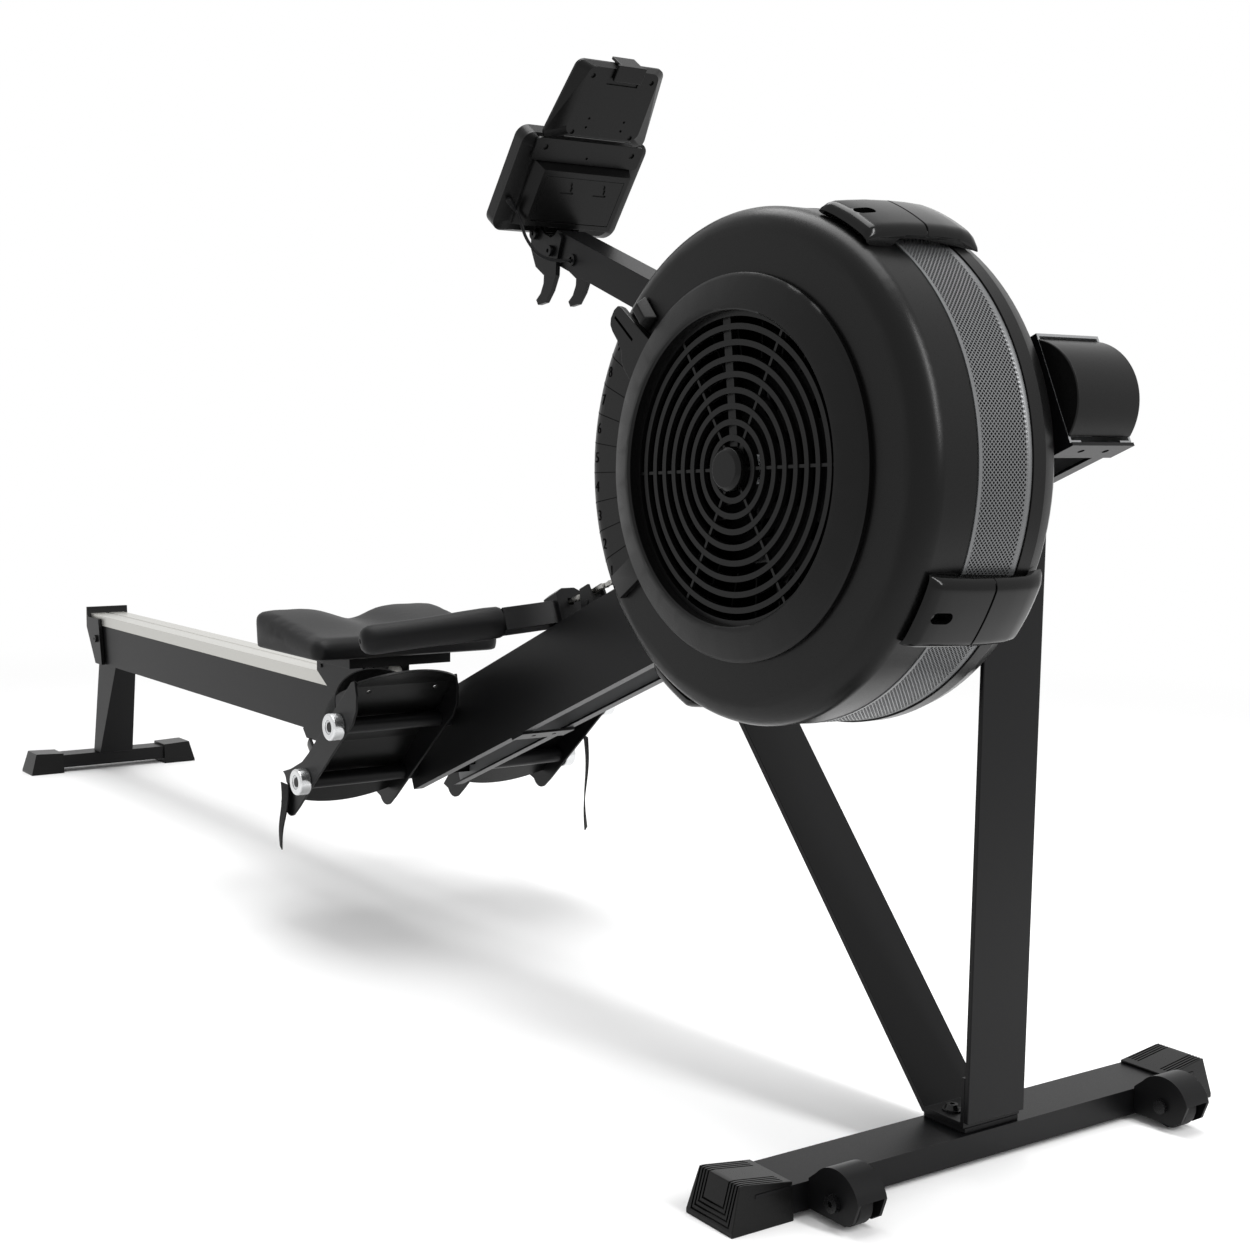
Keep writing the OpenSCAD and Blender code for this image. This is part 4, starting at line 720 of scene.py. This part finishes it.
def perforatedBand():
    # the plain borders and the smooth inside, as rings of one turned profile
    turn = np.arange(band["count"] * 2) * 180 / band["count"]
    y0, y1, rim = band["y0"], band["y1"], band["rim"]
    up = 0.0003
    profile = [(y0 + rim + 0.0026, bandRadius(y0 + rim) - 0.0006), (y0 + rim, bandRadius(y0 + rim) + up),
               (y0 + 0.0004, bandRadius(y0) + up), (y0 + 0.0002, 0.2230), (-0.1455, 0.2230),
               (-0.1455, band["inside"]), (-0.0756, 0.2251), (-0.0756, 0.2268), (y1 - 0.0001, 0.2268),
               (y1 - 0.0002, bandRadius(y1) + up), (y1 - rim, bandRadius(y1 - rim) + up),
               (y1 - rim - 0.0026, bandRadius(y1 - rim) - 0.0006)]
    o = np.array(profile)
    rings = roundFan(o[:, 1][None, :], turn[:, None], o[:, 0][None, :])
    points, cells = meshBand()
    piece = makePiece("perforatedBand", *joined([(rings, gridFaces(len(turn), len(o), closeRows=True)),
                                                 (points, cells.tolist())]),
                      materials["greyPerforatedSteel"], "silver_mesh", sharp=30)
    # the dimple floors are flat black: the black flywheel behind the holes, and painted shade of the housing's
    # inside
    holeShadeFaces = np.zeros(len(piece.data.polygons), np.int32)
    holeShadeFaces[-len(cells) // 9:] = 1
    piece.data.materials.append(materials["flywheelBlackAndHoleShade"])
    piece.data.polygons.foreach_set("material_index", holeShadeFaces)
    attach(piece, "frame")
    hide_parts("mesh_band")
    return piece


perforatedBand()
print("band made")

# roller chain
link = {"pitch": 0.0127, "height": 0.0052, "plate": 0.0010, "inner": 0.0022, "outer": 0.0033, "roller": 0.0026,
        "pin": 0.0012, "pinEnd": 0.0047}
chainLine = {"u0": 0.3883, "n0": 0.129, "u1": 0.9455, "n1": 0.0868}


def plateOutline(length, height, steps=8):
    # two round ends joined by a narrow waist
    a = np.linspace(-np.pi / 2, np.pi / 2, steps)
    right = np.stack([length / 2 + np.cos(a) * height / 2, np.sin(a) * height / 2], -1)
    left = -right
    waist = np.array([[0, height * 0.36]]), np.array([[0, -height * 0.36]])
    return np.concatenate([right, waist[0], left, waist[1]])


def rollerChain():
    start = np.array([chainLine["u0"], chainLine["n0"]])
    end = np.array([chainLine["u1"], chainLine["n1"]])
    run = np.linalg.norm(end - start)
    way = (end - start) / run
    square = np.array([-way[1], way[0]])
    count = int(run / link["pitch"])
    points, faces, total = [], [], 0

    def extrude(outline, y0, y1, at):
        # one flat outline carried across the chain
        nonlocal total
        n = len(outline)
        flat = start + np.outer(at + outline[:, 0], way) + np.outer(outline[:, 1], square)
        p = np.concatenate([onBeam(flat[:, 0], y0, flat[:, 1]), onBeam(flat[:, 0], y1, flat[:, 1])])
        f = [[k, (k + 1) % n, n + (k + 1) % n, n + k] for k in range(n)]
        f += [list(range(n))[::-1], list(range(n, 2 * n))]
        points.append(p)
        faces.extend([[k + total for k in face] for face in f])
        total += len(p)

    outline = plateOutline(link["pitch"], link["height"])
    circle = np.linspace(0, 2 * np.pi, 12, endpoint=False)
    disc = np.stack([np.cos(circle), np.sin(circle)], -1)
    for i in range(count):
        y = link["outer"] if i % 2 else link["inner"]
        for side in (-1, 1):
            low, high = sorted((side * y, side * (y + link["plate"])))
            extrude(outline, low, high, (i + 0.5) * link["pitch"])
        extrude(disc * link["roller"], -link["inner"], link["inner"], (i + 1) * link["pitch"])
        extrude(disc * link["pin"], -link["pinEnd"], link["pinEnd"], (i + 1) * link["pitch"])
    piece = makePiece("rollerChain", np.concatenate(points), faces, materials["nickelPlatedSteel"],
                      "chain_nickel", sharp=40)
    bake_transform(piece)
    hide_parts("chain")
    return piece


rollerChain()
print("chain made")

# foot straps
strap = {"width": 0.038, "thick": 0.0016, "rise": 0.058, "seat": 0.0188, "from": 0.086, "tailWidth": 0.024}
# loose ends: they hang edge on, with a slight sway and a slow twist
looseEnds = {
    "looseEndRight": {"top": (0.0455, -0.2008, 0.187), "low": (0.0415, -0.2045, 0.101), "turn": (-2, -20)},
    "looseEndLeft": {"top": (0.155, 0.2030, 0.2325), "low": (0.156, 0.2050, 0.103), "turn": (-22, -42)},
}


def ribbon(path, widthWay, width, thick):
    # a flat strip along a path: four edges carried along it, closed at both ends
    path, widthWay = np.asarray(path, float), np.asarray(widthWay, float)
    widthWay = np.broadcast_to(widthWay, path.shape)
    way = np.gradient(path, axis=0)
    way /= np.linalg.norm(way, axis=1, keepdims=True)
    out = np.cross(way, widthWay)
    out /= np.linalg.norm(out, axis=1, keepdims=True)
    corners = [path + widthWay * width * s / 2 + out * thick * t / 2
               for s, t in ((-1, -1), (1, -1), (1, 1), (-1, 1))]
    points = np.stack(corners, 1)
    n = len(path)
    faces = gridFaces(n, 4, closeCols=True) + [[3, 2, 1, 0], [(n - 1) * 4 + k for k in range(4)]]
    length = np.concatenate([[0], np.cumsum(np.linalg.norm(np.diff(path, axis=0), axis=1))])
    return points.reshape(-1, 3), faces, length


def mapStrip(piece, length, width):
    # the strip's own map: u across and v along, in scaled metres
    uv = piece.data.uv_layers.new(name="strip")
    index = np.empty(len(piece.data.loops), int)
    piece.data.loops.foreach_get("vertex_index", index)
    row, corner = index // 4, index % 4
    u = np.where((corner == 1) | (corner == 2), width, 0) * mapScale
    uv.data.foreach_set("uv", np.stack([u, length[row] * mapScale], -1).ravel())


def footStraps():
    # an arch over each footboard, half an ellipse, and one loose end beside each
    mid = (rest["inner"] + rest["outer"]) / 2
    half = (rest["outer"] - rest["inner"]) / 2 - 0.0025
    t = np.linspace(-0.12, np.pi + 0.12, 40)
    across = mid + half * np.cos(t)
    up = strap["seat"] + np.maximum(np.sin(t), -0.02) * strap["rise"] + 0.004
    mainPiece = None
    for side, label in ((-1, "Right"), (1, "Left")):
        path = onRest(strap["from"] + strap["width"] / 2 + 0.004 * np.sin(t), across * side, up)
        widthWay = onRest(1, 0, 0) - onRest(0, 0, 0)
        p, f, length = ribbon(path, widthWay, strap["width"], strap["thick"])
        piece = makePiece("instepStrap" + label, p, f, materials["wovenNylon"], "webbing", "frame", sharp=40)
        mapStrip(piece, length, strap["width"])
        mainPiece = mainPiece or piece
    for name, tail in looseEnds.items():
        s = np.linspace(0, 1, 14)[:, None]
        top, low = np.array(tail["top"]), np.array(tail["low"])
        path = top + (low - top) * s
        path[:, 0] += 0.0035 * np.sin(s[:, 0] * 2 * np.pi)
        a = np.radians(tail["turn"][0] + (tail["turn"][1] - tail["turn"][0]) * s[:, 0])
        widthWay = np.stack([np.cos(a), np.sin(a), 0 * a], -1)
        p, f, length = ribbon(path, widthWay, strap["tailWidth"], strap["thick"])
        piece = makePiece(name, p, f, materials["wovenNylon"], "webbing", "frame", sharp=40)
        mapStrip(piece, length, strap["tailWidth"])
    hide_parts("foot_straps")


footStraps()
print("straps made")

# sensor cable
cable = {"radius": 0.0019, "bolt": (0.360656, 0.879221), "plug": (30, -83, 33),
         "plugRadii": (0.0028, 0.0034, 0.0034, 0.0034, 0.0029, 0.0034, 0.0029, 0.0026, 0.0021),
         "points": [(25.85, -70, 22.1), (27.5, -67.6, 18), (31.5, -67.4, 11), (35.5, -66.5, 3), (37.5, -64, -7),
                    (40, -58, -18), (45, -51, -28), (54, -43, -34), (63, -35, -36), (69, -28, -36),
                    (71, -18, -36)]}


def smoothPath(points, steps):
    # Catmull-Rom: each stretch is a cubic that passes through its two points
    p = np.concatenate([points[:1], points, points[-1:]])
    t = np.linspace(0, 1, steps, endpoint=False)[:, None]
    parts = [0.5 * (2 * b + (c - a) * t + (2 * a - 5 * b + 4 * c - d) * t ** 2
                    + (3 * b - a - 3 * c + d) * t ** 3)
             for a, b, c, d in zip(p[:-3], p[1:-2], p[2:-1], p[3:])]
    return np.concatenate(parts + [points[-1:]])


def tube(path, radius, sides):
    # circles square to the path, carried along it and closed at both ends
    way = np.gradient(path, axis=0)
    way /= np.linalg.norm(way, axis=1, keepdims=True)
    u = np.cross(way, [0.3, 0.9, 0.2])
    u /= np.linalg.norm(u, axis=1, keepdims=True)
    v = np.cross(way, u)
    turn = np.linspace(0, 2 * np.pi, sides, endpoint=False)
    radius = np.broadcast_to(radius, len(path))[:, None, None]
    points = path[:, None] + radius * (u[:, None] * np.cos(turn)[:, None] + v[:, None] * np.sin(turn)[:, None])
    n = len(path)
    faces = gridFaces(n, sides, closeCols=True)
    faces += [list(range(sides))[::-1], [(n - 1) * sides + k for k in range(sides)]]
    return points.reshape(-1, 3), faces


def sensorCable():
    # the lead and its ribbed plug; the far end follows the arm and the near end the monitor
    bolt = np.array([cable["bolt"][0], 0, cable["bolt"][1]])
    path = bolt + smoothPath(np.array(cable["points"], float), 5) * mm
    start = bolt + np.array(cable["plug"]) * mm
    s = np.linspace(0, 1, len(cable["plugRadii"]))[:, None]
    plug = tube(start + (path[0] - start) * s, np.array(cable["plugRadii"]), 16)
    piece = makePiece("sensorLead", *joined([tube(path, cable["radius"], 12), plug]),
                      materials["mouldedRubber"], "rubber", sharp=45)
    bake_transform(piece)
    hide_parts("sensor_cable")


sensorCable()
print("cable made")

# air scale on the housing
scale = {"radius": 0.2070, "face": -0.1970, "flat": 0.2040, "shoulder": 0.022, "size": 0.0145, "from": 139.2,
         "step": 7.8, "count": 10, "tick": (0.1740, 0.2040, 0.2080, 0.2120, 0.2160, 0.2190)}


def onFace(radius, degrees, lift):
    # a point on the housing's front face, which curves away over its shoulder
    over = np.clip(radius - scale["flat"], 0, scale["shoulder"] * 0.98)
    fall = scale["shoulder"] - np.sqrt(scale["shoulder"] ** 2 - over ** 2)
    return roundFan(radius, degrees, scale["face"] + fall - lift)


def splitUp(mesh):
    # small triangles, so that a flat figure can follow a curved face
    work = bmesh.new()
    work.from_mesh(mesh)
    bmesh.ops.triangulate(work, faces=work.faces)
    bmesh.ops.subdivide_edges(work, edges=work.edges, cuts=3, use_grid_fill=True)
    work.to_mesh(mesh)
    work.free()


def airScale():
    # moulded strokes and plain numbers, round the fan's rear side, drawn flat black as painted shade of their
    # relief
    parts = []
    for i in range(scale["count"]):
        angle = scale["from"] + i * scale["step"]
        text = bpy.data.curves.new("number" + str(i), "FONT")
        text.body = str(scale["count"] - i)
        text.size = scale["size"]
        text.align_x, text.align_y = "CENTER", "CENTER"
        text.extrude = 0.0002
        text.resolution_u = 3
        holder = bpy.data.objects.new("number" + str(i), text)
        bpy.context.scene.collection.objects.link(holder)
        mesh = bpy.data.meshes.new_from_object(holder.evaluated_get(bpy.context.evaluated_depsgraph_get()))
        bpy.data.objects.remove(holder)
        splitUp(mesh)
        co = np.empty(len(mesh.vertices) * 3)
        mesh.vertices.foreach_get("co", co)
        co = co.reshape(-1, 3)
        centre = roundFan(scale["radius"], angle, 0.0)
        x, z = centre[0] + co[:, 0] - fan["x"], centre[2] + co[:, 1] - fan["z"]
        points = onFace(np.hypot(x, z), np.degrees(np.arctan2(z, x)), co[:, 2] + 0.00012)
        parts.append((points, [list(p.vertices) for p in mesh.polygons]))
        bpy.data.meshes.remove(mesh)
        edge = angle + scale["step"] / 2
        r = np.array(scale["tick"])[:, None]
        a = edge + np.array([-0.09, 0.09, 0.09, -0.09])
        lift = np.array([0.00025, 0.00025, -0.0002, -0.0002])
        faces = gridFaces(len(r), 4, closeCols=True) + [[3, 2, 1, 0], [(len(r) - 1) * 4 + k for k in range(4)]]
        parts.append((onFace(r, a, lift), faces))
    piece = makePiece("airScale", *joined(parts), materials["paintedReliefShade"], "black_plastic", "frame",
                      sharp=20)
    mergeClose(piece.data, 0.000001)


airScale()
print("air scale made")

# screen
screen = {"x": 0.343656, "z": 0.891221, "angle": 54, "halfWidth": 0.0655, "low": 0.0405, "high": 0.1095,
          "raised": 0.0006, "thick": 0.0008}


def screenGlass():
    # a flat glass slab in the monitor's window, drawn up the screen and across it
    a = math.radians(screen["angle"])
    up, out = np.array([math.cos(a), 0, math.sin(a)]), np.array([math.sin(a), 0, -math.cos(a)])
    origin = np.array([screen["x"], 0, screen["z"]])
    corners = []
    low, high = screen["low"], screen["high"]
    for depth in (screen["raised"], screen["raised"] + screen["thick"]):
        for s, y in ((low, -1), (low, 1), (high, 1), (high, -1)):
            corners.append(origin + up * s + out * depth + np.array([0, y * screen["halfWidth"], 0]))
    faces = [[0, 1, 2, 3], [7, 6, 5, 4]] + [[k, (k + 1) % 4, 4 + (k + 1) % 4, 4 + k] for k in range(4)]
    makePiece("screenGlass", corners, faces, materials["lcdGlass"], "black_plastic", "monitor", sharp=20)


screenGlass()
print("screen made")

# floor, light and camera
studio = {"floorHalf": 12, "fadeFrom": 1.5, "fadeTo": 3.2, "worldLight": 0.78, "seenWhite": 1.0}
# each lamp: place, aim, size in metres and power in watts
lamps = {
    "overhead": ((0.3, 0.1, 2.7), (0.3, 0.0, 0.3), (2.6, 1.2), 50),
    "shoulderStrip": ((2.9, 0.4, 1.9), (0.9, 0.0, 0.6), (0.30, 1.8), 42),
}


def seenRays(tree, path):
    # rays from the camera, from reflections and through glass
    first = addNode(tree, "ShaderNodeMath", {0: path.outputs["Is Camera Ray"],
                                             1: path.outputs["Is Glossy Ray"]}, operation="MAXIMUM")
    return addNode(tree, "ShaderNodeMath", {0: first.outputs["Value"], 1: path.outputs["Is Transmission Ray"]},
                   operation="MAXIMUM")


def floorMaterial():
    # white painted floor; far from the machine the camera sees it fade to the white backdrop
    material = bpy.data.materials.new("whitePaintedFloor")
    material.use_nodes = True
    tree = material.node_tree
    shader = tree.nodes["Principled BSDF"]
    shader.inputs["Base Color"].default_value = hexLinear("#fafafa")
    shader.inputs["Roughness"].default_value = 0.7
    shader.inputs["Specular IOR Level"].default_value = 0.1
    coords = addNode(tree, "ShaderNodeTexCoord")
    distance = addNode(tree, "ShaderNodeVectorMath", {0: coords.outputs["Object"]}, operation="LENGTH")
    fade = addNode(tree, "ShaderNodeMapRange", {"Value": distance.outputs["Value"]},
                   {"From Min": studio["fadeFrom"], "From Max": studio["fadeTo"]},
                   interpolation_type="SMOOTHSTEP")
    path = addNode(tree, "ShaderNodeLightPath")
    seen = seenRays(tree, path)
    share = addNode(tree, "ShaderNodeMath", {0: fade.outputs["Result"], 1: seen.outputs["Value"]},
                    operation="MULTIPLY")
    white = addNode(tree, "ShaderNodeEmission", values={"Color": (1, 1, 1, 1), "Strength": 1.0})
    mix = addNode(tree, "ShaderNodeMixShader", {0: share.outputs["Value"], 1: shader.outputs["BSDF"],
                                               2: white.outputs["Emission"]})
    tree.links.new(mix.outputs["Shader"], tree.nodes["Material Output"].inputs["Surface"])
    return material


def floor():
    mesh = bpy.data.meshes.new("floor")
    half = studio["floorHalf"]
    corners = [(-half, -half, 0), (half, -half, 0), (half, half, 0), (-half, half, 0)]
    mesh.from_pydata(corners, [], [(0, 1, 2, 3)])
    plane = bpy.data.objects.new("floor", mesh)
    bpy.context.scene.collection.objects.link(plane)
    mesh.materials.append(floorMaterial())


def softLight(name, spot, aim, size, power):
    data = bpy.data.lights.new(name, "AREA")
    data.shape = "RECTANGLE"
    data.size, data.size_y = size
    data.energy = power
    lamp = bpy.data.objects.new(name, data)
    bpy.context.scene.collection.objects.link(lamp)
    way = np.array(aim, float) - np.array(spot, float)
    lamp.location = spot
    pitch = math.acos(-way[2] / np.linalg.norm(way))
    lamp.rotation_euler = (pitch, 0, math.atan2(way[1], way[0]) - math.pi / 2)


def world():
    # even light from all round, which looks plain white where it is seen
    scene = bpy.context.scene
    scene.world = bpy.data.worlds.new("studio")
    scene.world.use_nodes = True
    tree = scene.world.node_tree
    back = tree.nodes["Background"]
    path = addNode(tree, "ShaderNodeLightPath")
    seen = seenRays(tree, path)
    strength = addNode(tree, "ShaderNodeMapRange", {"Value": seen.outputs["Value"]},
                       {"To Min": studio["worldLight"], "To Max": studio["seenWhite"]})
    back.inputs["Color"].default_value = (1, 1, 1, 1)
    tree.links.new(strength.outputs["Result"], back.inputs["Strength"])


view = {"place": (2.1626918, -1.2197568, 0.6461097), "turn": (83.99897399, -0.45715198, 57.72295069),
        "lens": 52.0545, "sensor": 36.0, "shiftX": 0.105644, "shiftY": -0.00167}


def camera():
    data = bpy.data.cameras.new("camera")
    data.lens, data.sensor_width = view["lens"], view["sensor"]
    data.shift_x, data.shift_y = view["shiftX"], view["shiftY"]
    data.clip_start, data.clip_end = 0.05, 60
    eye = bpy.data.objects.new("camera", data)
    eye.location = view["place"]
    eye.rotation_euler = [math.radians(v) for v in view["turn"]]
    bpy.context.scene.collection.objects.link(eye)
    bpy.context.scene.camera = eye


floor()
world()
for name, values in lamps.items():
    softLight(name, *values)
camera()
print("stage made")
bpy.context.scene.view_settings.view_transform = "Standard"
print("scene ready")
